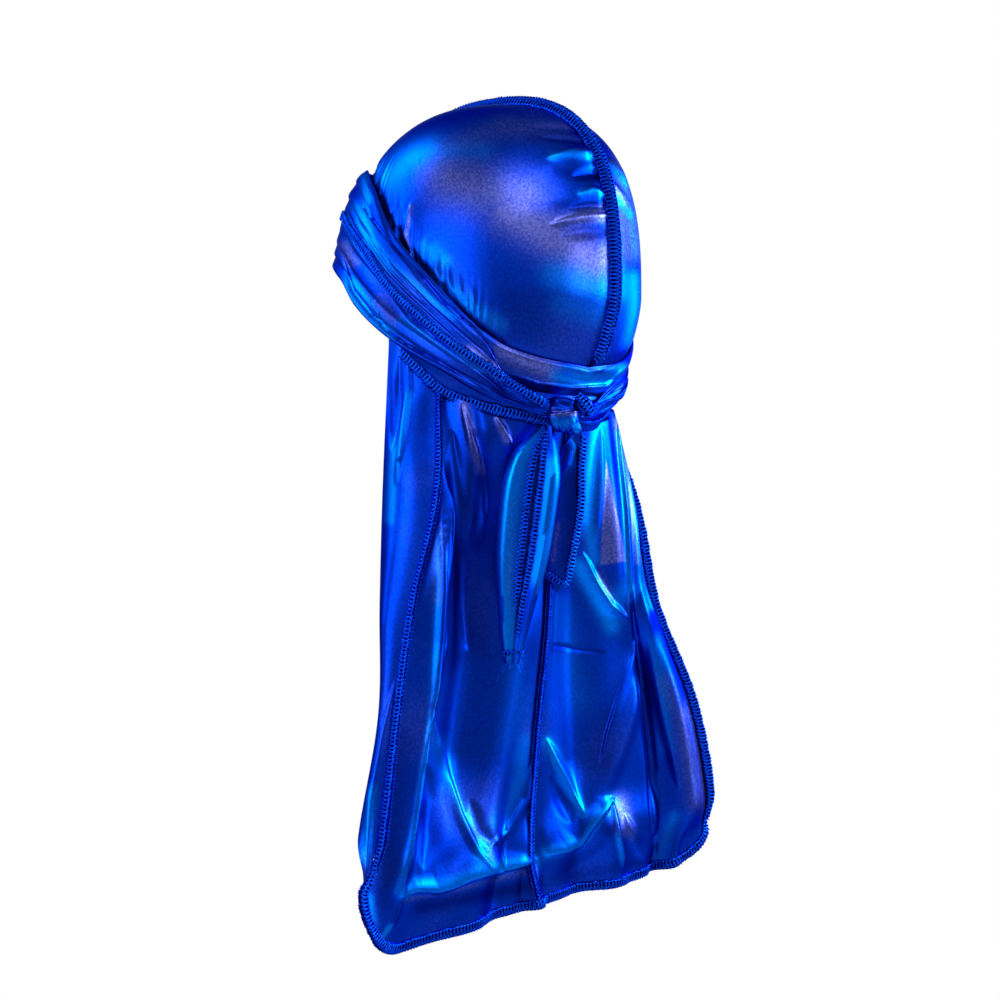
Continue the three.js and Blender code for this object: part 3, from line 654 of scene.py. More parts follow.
# Seams are swept in even steps of mm, with a slight swell at each stitch
seamSettings = {"step": 0.9, "swell": 0.05, "swellEvery": 2.2, "sink": 0.1}


def seamWave(count):
    s = seamSettings
    return 1 + s["swell"] * np.sin(np.arange(count) * s["step"] * 2 * math.pi / s["swellEvery"])


# A raised seam: a bar, and a row of stitches on each of its faces where keep says so
def barSeam(name, centre, across, face, halfWide, half, node, stem, words, wide, keep=slice(None)):
    band = addBand(name, centre, across, face, halfWide, half)
    finishPiece(band, seamCloth, [node])
    half = np.broadcast_to(half, (len(centre),))[:, None]
    wide = np.broadcast_to(wide, (len(centre),))[keep]
    for word, turn in zip(words, (1, -1)):
        spot = (centre + face * turn * (half - seamSettings["sink"]))[keep]
        addStitches(stem + word, spot, across[keep], (face * turn)[keep], wide)


# Crown: two panels over the head, gathered into the middle seam
crownSettings = {"columns": 232, "rows": 223, "wall": 0.8, "join": 0.2, "pucker": 0.5, "tuck": 3.5}
crownGathers = [
    # along, side, reach, width, height
    (56, 1, 30, 5, 1.6),
    (42, 1, 26, 4, 1.8),
    (30, 1, 34, 5, 1.6),
    (49, -1, 24, 5, 1.4),
    (36, -1, 22, 5, 1.5),
]
crownCreases = [
    ([(529, 127), (560, 128), (590, 134)], 3.5, -0.9, 0.3),
    ([(540, 137), (570, 139), (597, 144)], 3.0, -1.2, 0.3),
    ([(546, 157), (570, 152), (590, 152), (604, 161)], 5.0, 2.0, 0.3),
    ([(572, 176), (592, 172), (606, 178)], 4.5, -1.8, 0.2),
    ([(578, 196), (591, 190), (608, 197)], 4.0, 1.9, 0.2),
    ([(568, 208), (590, 205), (609, 207)], 3.0, -1.3, 0.2),
    ([(550, 225), (580, 217), (612, 215)], 4.0, 1.5, 0.2),
    ([(560, 236), (585, 231), (610, 232)], 6.0, -0.8, 0.2),
    ([(413, 200), (406, 235), (411, 262)], 1.8, 1.4, 0.4),
    ([(400, 206), (397, 240), (403, 254)], 4.0, -1.3, 0.0),
    ([(431, 238), (430, 262), (440, 284)], 4.0, 0.8, 0.0),
    ([(422, 236), (420, 252), (424, 268)], 2.5, 0.5, 0.0),
    ([(438, 252), (437, 268), (443, 284)], 2.5, 0.6, 0.0),
    ([(447, 262), (448, 278), (455, 294)], 2.5, 0.6, 0.0),
    ([(458, 272), (460, 288), (466, 302)], 2.5, 0.5, 0.0),
    ([(470, 284), (473, 298), (480, 312)], 3.0, 0.5, 0.0),
    ([(608, 158), (620, 172), (628, 190)], 3.5, 1.2, 0.2),
    ([(611, 182), (622, 196), (633, 213)], 3.5, 1.2, 0.2),
]
# Painted lilac highlight on the crown: line pieces in the picture with a soft radius and an amount
crownLilacSheen = [
    (450, 178, 520, 200, 24, 0.75),
    (510, 212, 592, 260, 20, 1.0),
    (552, 222, 604, 213, 7, 0.9),
    (625, 160, 640, 250, 13, 0.85),
    (440, 150, 540, 112, 14, 0.25),
    (500, 124, 580, 126, 13, 0.35),
    (411, 206, 406, 235, 1.6, 0.7),
    (406, 235, 409, 256, 1.6, 0.7),
]

# Painted highlights on the crown, and painted shade (below nought) in its creases and along the band's top
# edge
crownPaintedLight = [
    ([(384, 172), (402, 156), (430, 147)], 13, 0.55),
    ([(430, 152), (484, 150)], 10, 0.3),
    ([(423, 243), (445, 262)], 8, 0.5),
    ([(432, 280), (462, 302), (500, 324)], 9, 0.5),
    ([(556, 274), (600, 288)], 15, 0.6),
    ([(560, 305), (598, 315)], 14, 0.3),
    ([(633, 280), (634, 310), (630, 340)], 10, 0.75),
    ([(611, 167), (627, 183)], 4, 0.9),
    ([(618, 199), (630, 215)], 4, 0.8),
    ([(552, 156), (574, 153), (594, 158)], 4, 0.8),
    ([(581, 193), (592, 190), (602, 194)], 3.5, 0.9),
    ([(558, 172), (602, 180)], 7, -0.6),
    ([(556, 205), (604, 203)], 5, -0.6),
    ([(566, 232), (606, 236)], 8, -0.5),
    ([(530, 138), (590, 140)], 6, -0.4),
    ([(418, 210), (418, 240)], 7, -0.3),
    ([(470, 260), (540, 330)], 20, -0.15),
    ([(376, 190), (386, 235), (404, 268), (441, 298), (470, 320), (505, 342)], 3, -0.9),
]


def ontoHead(p):
    y = p[..., 1] - headMiddle
    rise = p[..., 2] - widestLevel
    long = np.where(y > 0, headLong, browLong).astype(float)
    n = squareness(np.cos(np.arctan2(p[..., 0] / headWide, y / long)))
    r = np.hypot(p[..., 0] / headWide, y / long)
    up = np.maximum(rise, 0) / headRise
    k = np.power(np.power(r, n) + np.power(up, n), -1 / n)
    below = np.minimum(rise, 0)
    hollow = napeHollow * below * below / (napeEase - below)
    lower = np.where(y > 0, long - hollow, long)
    across = p[..., 0] / (headWide - sideTaper * below * below)
    k2 = 1 / np.maximum(np.hypot(across, y / lower), 1e-9)
    high = np.stack([p[..., 0] * k, headMiddle + y * k, widestLevel + rise * k], -1)
    low = np.stack([p[..., 0] * k2, headMiddle + y * k2, p[..., 2]], -1)
    return np.where((rise > 0)[..., None], high, low)


def outwardAt(p):
    rise = np.maximum(0, p[..., 2] - widestLevel)
    normal = [p[..., 0] / headWide**2, (p[..., 1] - headMiddle) / headLong**2, rise / headRise**2]
    return unit(np.stack(normal, -1))


def seamShift(y):
    return seamOffset * smooth(y, -100, 20)


def gatherRise(p, side):
    along = np.degrees(np.arctan2(p[..., 2] - widestLevel, p[..., 1] - headMiddle))
    rise = np.zeros(along.shape)
    for place, which, reach, width, high in crownGathers:
        if which == side:
            rise += 0.6 * high * bell((along - place) / width) * bell((p[..., 0] - seamOffset) / reach)
    return rise * smooth(np.abs(p[..., 0] - seamOffset), 1.5, 7)


def crownPanel(name, side, node):
    s = crownSettings
    u = np.linspace(0, 1, s["columns"])[None, :]
    v = np.linspace(0, 1, s["rows"])[:, None] ** 0.9
    turn = 180 * u if side > 0 else -180 * (1 - u)
    # The back edge goes on down behind the neck seam
    tuck = s["tuck"] * (1 - smooth(np.abs(turn), 80, 88))
    end = reachOf(turn, capEdgeLevel(turn) - tuck)
    point = headPoint(turn, meridianLevel(turn, end * v))
    point[0] = [0, headMiddle, topLevel]
    edge = seamShift(point[..., 1]) + side * s["join"]
    point[..., 0] = edge + point[..., 0] * (1 - side * edge / headWide)
    point = ontoHead(point)
    out = outwardAt(point)
    rise = gatherRise(point, side)
    px, py = shownAt(point)
    shown = smooth(out @ backward, -0.05, 0.15)
    rise = rise + creased(crownCreases, px, py) * shown
    # Fine gathers where the cloth is drawn in under the band
    level = point[..., 2]
    band = np.where(turn > 0, curveAt(leftTop, np.abs(turn)), curveAt(rightTop, np.abs(turn)))
    above = level - np.maximum(band, curveAt(underTop, np.abs(turn - underTurn)))
    ripple = np.sin(turn * 1.9 + 2.2 * np.sin(turn * 0.31)) * (0.6 + 0.4 * np.sin(turn * 0.53 + 1.3))
    drawn = 0.3 + 0.7 * smooth(-px, -520, -470)
    rise = rise + s["pucker"] * ripple * drawn * bell((above - 3) / 16) * smooth(-above, -60, 2)
    # The cloth dips where the band holds it down
    rise = rise - (0.8 + 0.7 * drawn) * bell((above + 0.5) / 4)
    top = smooth(end * v, 0.0, 0.06)
    point = point + out * (rise * top)[..., None]
    px, py = shownAt(point)
    marks = satinMarks(crownLilacSheen, crownPaintedLight, px, py, smooth(out @ backward, -0.2, 0.1))
    return satinPiece(name, point, s["wall"], marks, node)


# Bands round the head: edges by turn and level
underTop = [[0, 75], [22, 79], [39, 86], [49, 95], [62, 106], [82, 128], [104, 156], [130, 178], [188, 186]]
underBottom = [[0, 52], [30, 55], [60, 66], [90, 95], [110, 117], [135, 136], [188, 146]]
underTurn = 8
leftTop = [
    [24, 55], [34, 59], [44, 66], [50, 79], [57, 94], [64, 104],
    [76, 124], [90, 148], [110, 181], [135, 196], [210, 199],
]
leftBottom = [
    [20, 45], [37, 51], [56, 60], [70, 71], [84, 82],
    [93, 90], [111, 110], [125, 128], [145, 138], [210, 140],
]
hemRest = [[92, 121], [104, 142], [118, 157], [138, 170], [210, 172]]
leftHem = [[24, 50], [49, 71], [68, 89], [79, 103], *hemRest]
rightTop = [
    [-12, 52], [0, 55], [15, 66], [40, 76], [50, 84], [60, 95],
    [76, 121], [90, 148], [110, 181], [135, 195], [210, 198],
]
rightBottom = [[-12, 44], [14, 48], [36, 56], [56, 63], *leftBottom[3:]]
rightHem = [[-12, 48], [15, 57], [40, 67], [68, 89], *hemRest]

crownLeft = crownPanel("crownLeft", 1, "crown_left")
crownRight = crownPanel("crownRight", -1, "crown_right")
print("crown made")

# Under wrap: the first turn of strap, a closed band behind the knot
underSettings = {"columns": 330, "rows": 43, "wall": 0.8, "off": 0.8, "fold": 0.7}
underCreases = [
    ([(508, 372), (540, 384), (572, 388), (606, 386), (641, 350)], 2.0, 1.4, 0.2),
    ([(506, 380), (532, 391), (560, 395), (600, 396), (622, 384)], 3.0, -1.2, 0.0),
    ([(560, 363), (600, 366), (640, 352)], 2.5, 0.8, 0.2),
    ([(520, 392), (536, 398), (552, 400)], 2.0, 1.2, 0.2),
]
# Painted lilac highlight, and painted highlight and shade of the under wrap; shade is below nought, with a
# painted shadow along the strap's edge
underLilacSheen = [(505, 350, 548, 370, 11, 0.8), (622, 352, 636, 345, 4, 0.5)]
underPaintedLight = [
    ([(556, 376), (600, 380), (622, 372)], 7, 0.8),
    ([(560, 368), (600, 372)], 4, 0.4),
    ([(586, 392), (612, 388)], 4, 0.6),
    ([(520, 385), (560, 398)], 4, -0.7),
    ([(480, 330), (520, 352), (600, 372), (636, 350)], 1.5, -0.6),
]


def underWrap():
    s = underSettings
    turn = (360 * np.arange(s["columns"]) / s["columns"] - 180)[None, :]
    share = np.linspace(0, 1, s["rows"])[:, None]
    side = np.abs(turn - underTurn)
    side = np.where(side > 180, 360 - side, side)
    level = mix(curveAt(underTop, side), curveAt(underBottom, side), share)
    folds = np.abs(np.sin(math.pi * (share * 2.6 + 0.25 * np.sin(np.radians(turn * 1.5)) + 0.1))) ** 1.4
    edge = bell(share / 0.06) + bell((1 - share) / 0.06)
    off = s["off"] + cloth - 0.2 + s["fold"] * folds * (1 - edge) - 0.9 * edge
    point = headPoint(turn, level, off)
    px, py = shownAt(point)
    facing = outwardAt(point)
    shown = smooth(facing @ backward, 0, 0.2)
    inside = smooth(share, 0.0, 0.08) * (1 - smooth(share, 0.92, 1.0))
    marks = satinMarks(underLilacSheen, underPaintedLight, px, py, shown)
    point = point + facing * (creased(underCreases, px, py) * shown * inside)[..., None]
    return satinPiece("underWrap", point, s["wall"], marks, "under_wrap", ring=True)


firstTurn = underWrap()

# Straps: the second turn, pleated, with an overlocked hem along each
strapSettings = {
    "columns": 343,
    "rows": 73,
    "wall": 0.8,
    "off": 2.7,
    "crossing": 5.5,
    "pleat": 2.2,
    "hemWide": 5.0,
    "roll": 1.6,
}
# Pleat lines: share of the width where each fold steps down, and how high it stands
strapPleats = [
    (0.0, 0.6), (0.13, 0.9), (0.31, 0.5), (0.42, 0.5),
    (0.57, 1.0), (0.72, 0.7), (0.87, 1.0), (1.0, 0),
]
# Sharp fold lines that show in the picture, drawn together at the knot
strapCreases = [
    ([(352, 188), (362, 206), (396, 250), (440, 300), (490, 343), (545, 396)], 1.6, -1.5, 0.2),
    ([(371, 192), (392, 240), (430, 286), (470, 326), (510, 358), (548, 396)], 2.0, -1.2, 0.3),
    ([(364, 226), (390, 264), (430, 306), (472, 342), (518, 378), (548, 402)], 1.5, -1.3, 0.2),
    ([(350, 236), (377, 274), (412, 320), (470, 366), (520, 394), (548, 410)], 1.7, -1.4, 0.2),
    ([(376, 304), (382, 326), (404, 344), (450, 368), (505, 396), (546, 413)], 2.2, -1.6, 0.3),
    ([(343, 258), (352, 290), (372, 316), (392, 330)], 2.0, -1.3, 0.2),
    ([(400, 300), (430, 328), (470, 352), (500, 372)], 3.0, 0.9, 0.0),
    ([(583, 410), (602, 402), (622, 386), (638, 360)], 1.6, -1.2, 0.2),
    ([(585, 416), (606, 408), (628, 390), (640, 370)], 1.6, -1.0, 0.2),
]
# Painted lilac highlight on the straps
strapLilacSheen = [
    (344, 246, 352, 262, 7, 0.7),
    (470, 350, 500, 372, 6, 0.6),
    (640, 362, 622, 392, 5, 0.6),
    (380, 300, 392, 318, 8, 0.3),
]

# Painted highlights along the straps' pleats, and painted shade (below nought) between them
strapPaintedLight = [
    ([(364, 176), (367, 212)], 4, 0.8),
    ([(356, 208), (370, 238), (390, 268)], 6, 0.55),
    ([(388, 262), (428, 296), (452, 316)], 4, 0.45),
    ([(345, 215), (352, 240)], 5, 0.4),
    ([(352, 284), (368, 310), (390, 334)], 6, 0.65),
    ([(400, 320), (450, 350), (500, 380)], 4, 0.3),
    ([(590, 411), (612, 400), (634, 380)], 4, 0.7),
    ([(404, 345), (450, 375), (520, 400)], 7, -0.3),
    ([(352, 262), (372, 290), (396, 312)], 4, -0.5),
    ([(372, 206), (392, 246), (420, 276)], 3, -0.5),
]


def strapRise(share, hemShare, turn, wide):
    s = strapSettings
    fan = 0.45 + 0.55 * smooth(turn, 10, 60)
    front = 1 - 0.45 * smooth(turn, 125, 150)
    rise = np.zeros(share.shape)
    ends = []
    for k, (place, _) in enumerate(strapPleats):
        ends.append(place + 0.035 * np.sin(turn / (15 + 3 * k) + 2.1 * k) * math.sin(math.pi * place))
    for k in range(len(strapPleats) - 1):
        p = np.clip((share - ends[k]) / (ends[k + 1] - ends[k]), 0, 1)
        high = strapPleats[k][1] * (0.62 + 0.38 * np.sin(turn / (19 + 2 * k) + 1.7 * k))
        hump = np.sin(math.pi * np.power(p, 1.9)) ** 0.75
        rise = np.where((p > 0) & (p < 1), high * hump, rise)
    hem = bell((share - hemShare) * wide / (s["hemWide"] * 0.75)) ** 2
    return (s["pleat"] * fan * rise * (1 - 0.5 * hem) + 1.0 * hem) * front


def strapSurface(side, edges, ends, turn, share):
    s = strapSettings
    top = curveAt(edges["top"], turn)
    bottom = curveAt(edges["bottom"], turn)
    hemShare = (top - curveAt(edges["hem"], turn)) / (top - bottom)
    crossing = smooth(turn, 118, 148) * (s["crossing"] - s["off"]) if side > 0 else 0
    lift = 7.5 * (1 - smooth(turn, ends[0], ends[0] + 22))
    rise = strapRise(share, hemShare, turn, top - bottom)
    wide = top - bottom
    edge = bell(share * wide / 1.6) + bell((1 - share) * wide / 1.6)
    off = s["off"] + cloth + crossing + lift + rise - s["roll"] * edge
    return headPoint(side * turn, mix(top, bottom, share), off)


def strap(name, side, edges, ends, node):
    s = strapSettings
    turn = np.linspace(ends[0], ends[1], s["columns"])[None, :]
    if side < 0:
        turn = turn[:, ::-1]
    share = np.linspace(0, 1, s["rows"])[:, None]
    turn, share = np.broadcast_arrays(turn, share)
    point = strapSurface(side, edges, ends, turn, share)
    px, py = shownAt(point)
    facing = outwardAt(point)
    shown = smooth(facing @ backward, 0, 0.2)
    inside = smooth(share, 0.0, 0.05) * (1 - smooth(share, 0.95, 1.0))
    marks = satinMarks(strapLilacSheen, strapPaintedLight, px, py, shown)
    point = point + facing * (creased(strapCreases, px, py) * shown * inside)[..., None]
    obj = satinPiece(name, point, s["wall"], marks, node)
    # The hem: a band laid on the strap, and its stitches
    along = np.linspace(ends[0] + 2.5, ends[1], 500)
    top = curveAt(edges["top"], along)
    bottom = curveAt(edges["bottom"], along)
    share = (top - curveAt(edges["hem"], along)) / (top - bottom)
    middle = strapSurface(side, edges, ends, along, share)
    step = 0.35 * s["hemWide"] / (top - bottom)
    upper = strapSurface(side, edges, ends, along, share - step)
    lower = strapSurface(side, edges, ends, along, share + step)
    across = unit(upper - lower)
    out = unit(np.cross(np.gradient(middle, axis=0), across)) * (1 if side < 0 else -1)
    out = out * np.sign(dots(out, outwardAt(middle)))[:, None]
    middle, across, out = evened(1.2, middle, across, out)
    band = addBand(name + "Hem", middle + out * 0.1, unit(across), unit(out), s["hemWide"] / 2, 0.7)
    finishPiece(band, seamCloth, [])
    row = addStitches(name + "Stitches", middle + out * 0.55, across, out, s["hemWide"] * 0.92)
    return obj, band, row


strapLeft = strap(
    "strapLeft", 1, {"top": leftTop, "bottom": leftBottom, "hem": leftHem}, [26.6, 204], "strap_left"
)
strapRight = strap(
    "strapRight", -1, {"top": rightTop, "bottom": rightBottom, "hem": rightHem}, [-9.8, 204], "strap_right"
)
print("bands made")

# Crown seam: a standing overlocked fin
crownSeamSettings = {"half": 0.9, "stand": 6.2, "lean": 0.55}


def crownSeam():
    s = crownSeamSettings
    covers = [(0, curveAt(underTop, abs(0 - underTurn)) + 1), (180, leftTop[-1][1] + 1.5)]
    runs = []
    for turn, cover in covers:
        reach = np.linspace(0, 1, 300) * reachOf(turn, capEdgeLevel(turn))
        level = meridianLevel(turn, reach)
        middle = headPoint(np.full(300, turn), level)
        middle[0] = [0, headMiddle, topLevel]
        middle[:, 0] += seamShift(middle[:, 1])
        middle = ontoHead(middle)
        stand = mix(0.3, s["stand"], smooth(level, cover - 1.5, cover + 5))
        runs.append((middle, stand))
    middle = np.concatenate([runs[0][0][::-1], runs[1][0][1:]])
    stand = np.concatenate([runs[0][1][::-1], runs[1][1][1:]])
    middle, stand = evened(seamSettings["step"], middle, stand)
    along = unit(np.gradient(middle, axis=0))
    out = unit(np.cross(along, np.array([1.0, 0, 0])))
    out = out * np.sign(dots(out, outwardAt(middle)))[:, None]
    out[:, 0] -= s["lean"]
    out = unit(out)
    side = unit(np.cross(out, along))
    centre = middle + out * (stand / 2 - 0.4)[:, None]
    wide = (stand / 2 + 0.4) * seamWave(len(middle))
    names = ("crown_seam", "crownStitches", ("Left", "Right"))
    barSeam("crownSeam", centre, out, side, wide, s["half"], *names, stand, stand > 3)


crownSeam()
print("crown seam made")

# Tail guide lines from the neck to the hem: share of the drop, x, y, level
tailGuides = {
    "frontLeft": [
        [0.23, 79, -21, 10], [0.455, 88, -15, -55], [0.68, 103, -2, -118],
        [0.906, 119, -1, -179], [1, 129, 4, -203],
    ],
    "sideLeft": [
        [0.23, 78, 17, 0], [0.455, 92, 11, -60], [0.68, 104, 10, -120],
        [0.906, 117, 12, -182], [1, 127, 12, -210],
    ],
    "middle": [
        [0.23, 2, 43, -22], [0.455, -2, 34, -84], [0.68, -2, 27, -145],
        [0.906, -2, 23, -208], [1, -5, 27, -234],
    ],
    "sideRight": [
        [0.23, -69, 47, -6], [0.455, -87, 48, -64], [0.68, -114, 56, -122],
        [0.906, -135, 55, -182], [1, -133, 53, -204],
    ],
    "frontRight": [
        [0.23, -72, 8, 8], [0.455, -86, 22, -58], [0.68, -108, 38, -118],
        [0.906, -127, 43, -179], [1, -128, 44, -197],
    ],
}
guideTurns = {"frontLeft": 97, "sideLeft": 75, "middle": 3, "sideRight": -58, "frontRight": -89}
roundness = [[0, 1], [0.2, 0.75], [0.45, 0.35], [0.7, 0.15], [1, 0]]
corners = {1: (40, 0.76), -1: (18, 0.58)}
# panel, top, half, foot, from, to, wide, high, lean
tailFolds = [
    (1, 1.1, 0.84, 0.95, 0.1, 1.3, 8, 9, 5),
    (1, 0.62, 0.5, 0.55, 0.02, 0.85, 17, -11, 0),
    (1, 0.82, 0.5, 0.4, -0.2, 0.32, 7, 5, 0),
    (1, 0.2, 0.3, 0.4, 0.3, 1.2, 17, 6, 0),
    (1, 0.1, 0.12, 0.22, 0.7, 1.1, 9, -5, 0),
    (-1, 0.53, 0.6, 0.6, -0.2, 0.5, 10, 6, 0),
    (-1, 0.83, 0.76, 0.7, -0.2, 0.6, 8, 7, -2),
    (-1, 0.74, 0.76, 0.76, 0.42, 1.2, 8, -11, 0),
    (-1, 0.85, 0.84, 0.86, 0.35, 1.2, 15, 9, 0),
    (-1, 0.9, 0.78, 0.1, 0.5, 0.9, 11, 5, 0),
    (-1, 0.25, 0.25, 0.3, 0.2, 1.2, 14, -6, 0),
    (-1, 0.1, 0.1, 0.45, 0.72, 1.2, 14, 7, 0),
]


def guideRows(name):
    turn = guideTurns[name]
    start = headPoint(turn, neckLevel(turn) - tailDrop)
    return np.array([[0, *start], *tailGuides[name]], float)


guides = {name: guideRows(name) for name in tailGuides}


def guideAt(name, share):
    rows = guides[name]
    share = np.asarray(share, float)
    i = np.clip(np.searchsorted(rows[1:, 0], share, side="left"), 0, len(rows) - 2)
    here, ahead = rows[i], rows[i + 1]
    before, after = rows[np.maximum(0, i - 1)], rows[np.minimum(len(rows) - 1, i + 2)]
    span = (ahead[..., 0] - here[..., 0])[..., None]
    f = (share[..., None] - here[..., :1]) / span
    a, b = here[..., 1:], ahead[..., 1:]
    first = (b - before[..., 1:]) / (ahead[..., :1] - before[..., :1]) * span
    second = (after[..., 1:] - a) / (after[..., :1] - here[..., :1]) * span
    return (
        a * (2 * f**3 - 3 * f**2 + 1)
        + first * (f**3 - 2 * f**2 + f)
        + b * (3 * f**2 - 2 * f**3)
        + second * (f**3 - f**2)
    )


def drape(first, second, u, share):
    u, share = spread(u, share)
    t = u[..., None]
    turn = mix(guideTurns[first], guideTurns[second], u)
    onHead = headPoint(turn, neckLevel(turn) - tailDrop)
    zero = np.zeros(u.shape)
    bulge = onHead - mix(guideAt(first, zero), guideAt(second, zero), t)
    point = mix(guideAt(first, share), guideAt(second, share), t)
    return point + bulge * curveAt(roundness, share)[..., None]


def foldPlace(top, half, foot, share):
    return np.where(share < 0.5, mix(top, half, share / 0.5), mix(half, foot, (share - 0.5) / 0.5))


def panelPoint(side, u, share):
    u, share = spread(u, share)
    outer = "sideLeft" if side > 0 else "sideRight"
    point = drape("middle", outer, u, share)
    drop, start = corners[side]
    q = np.maximum(0, (u - start) / (1 - start))
    rounded = 1 - np.sqrt(np.maximum(0, 1 - 0.985 * q * q))
    point[..., 2] -= drop * (u - rounded) * np.power(np.maximum(share, 0), 3)
    chord = guideAt(outer, share) - guideAt("middle", share)
    width = np.linalg.norm(chord, axis=-1)
    along = unit(chord * [1, 1, 0])
    out = np.stack([-along[..., 1] * side, along[..., 0] * side, np.zeros(u.shape)], -1)
    hold = smooth(u, 0, 0.07) * (1 - smooth(u, 0.95, 1))
    # The folds lie flatter at the outer corner of the hem
    calm = hold * (1 - 0.9 * smooth(u, 0.78, 0.87) * smooth(share, 0.88, 0.98))
    for panel, top, half, foot, begin, end, wide, high, lean in tailFolds:
        if panel == side:
            near = bell((u - foldPlace(top, half, foot, share)) * width / wide)
            fade = smooth(share, begin, begin + 0.16) * (1 - smooth(share, end - 0.16, end))
            point = point + out * (high * near * fade * calm)[..., None]
            point = point - along * (lean * near * fade * calm)[..., None]
    curl = hemSwell * bell((share - 0.88) / 0.05) - hemCurl * smooth(share, 0.89, 1.02)
    return point + out * (curl * hold * (1 - q))[..., None]


tailSettings = {"columns": 208, "rows": 250, "wall": 0.7}
# Fine creases of the tail, placed by where they show: line, half width, height, steep side
tailCreases = [
    ([(442, 505), (445, 550), (445, 590), (442, 640), (437, 690), (431, 720), (426, 745)], 4.0, 2.4, 0.4),
    ([(432, 716), (424, 769), (419, 800), (414, 833), (408, 861), (403, 889), (390, 926)], 3.0, 2.6, 0.6),
    ([(433, 712), (439, 745), (446, 775), (460, 815), (478, 850), (490, 868)], 5.0, 2.2, 0.3),
    ([(462, 402), (470, 430), (482, 480), (486, 515)], 4.0, 2.2, 0.3),
    ([(495, 415), (503, 428), (512, 445)], 4.0, 1.8, 0.3),
    ([(452, 430), (458, 500), (465, 560), (468, 650)], 10.0, -3.0, 0.0),
    ([(425, 765), (432, 800), (430, 840), (424, 868)], 9.0, -2.6, 0.0),
    ([(532, 762), (525, 798), (508, 828), (490, 848)], 4.5, 2.4, -0.4),
    ([(470, 800), (480, 830), (500, 850)], 7.0, -2.0, 0.0),
    ([(546, 739), (556, 765), (570, 792), (584, 814)], 4.5, 3.2, -0.3),
    ([(552, 775), (562, 800), (572, 822)], 8.0, -2.0, 0.0),
    ([(638, 636), (621, 686), (607, 734), (600, 766)], 5.0, 2.6, -0.5),
    ([(552, 645), (570, 648), (600, 652)], 2.5, -0.7, 0.0),
    ([(630, 583), (635, 624), (642, 670), (648, 725), (653, 767), (654, 835), (657, 863)], 4.0, -3.4, 0.2),
    ([(641, 590), (650, 640), (662, 700), (673, 750), (680, 790)], 7.0, 2.6, 0.0),
    ([(616, 411), (621, 465), (626, 511), (630, 585), (637, 620)], 2.5, 1.8, -0.4),
    ([(601, 430), (600, 480), (596, 530), (590, 558)], 5.0, 1.6, 0.0),
    ([(582, 552), (596, 582), (610, 604), (628, 618)], 7.0, 3.6, 0.4),
    (
        [(396, 896), (416, 889), (436, 889), (452, 884), (469, 876), (488, 870), (506, 867), (538, 860)],
        9.0, 5.0, -0.5,
    ),
    ([(545, 855), (566, 849), (578, 842), (589, 828), (600, 815), (614, 798)], 8.0, 4.2, -0.5),
    ([(612, 799), (617, 830), (622, 850), (624, 876)], 2.5, 2.0, 0.0),
    ([(625, 815), (636, 845), (652, 868)], 6.0, 2.0, 0.0),
    ([(404, 893), (396, 915), (384, 938)], 2.5, 1.8, 0.0),
]
# Painted lilac highlight on the tail's ridges and swag crest, also used on the gores
tailLilacSheen = [
    (464, 405, 480, 470, 4, 0.9),
    (497, 418, 508, 440, 4, 0.8),
    (690, 715, 704, 800, 13, 0.65),
    (620, 800, 626, 830, 9, 0.4),
    (405, 900, 470, 886, 3, 0.3),
    (470, 886, 534, 870, 3, 0.3),
    (436, 600, 440, 530, 6, 0.15),
    (664, 680, 690, 740, 8, 0.25),
    (618, 420, 640, 560, 4, 0.7),
    (600, 575, 612, 600, 4, 0.3),
]
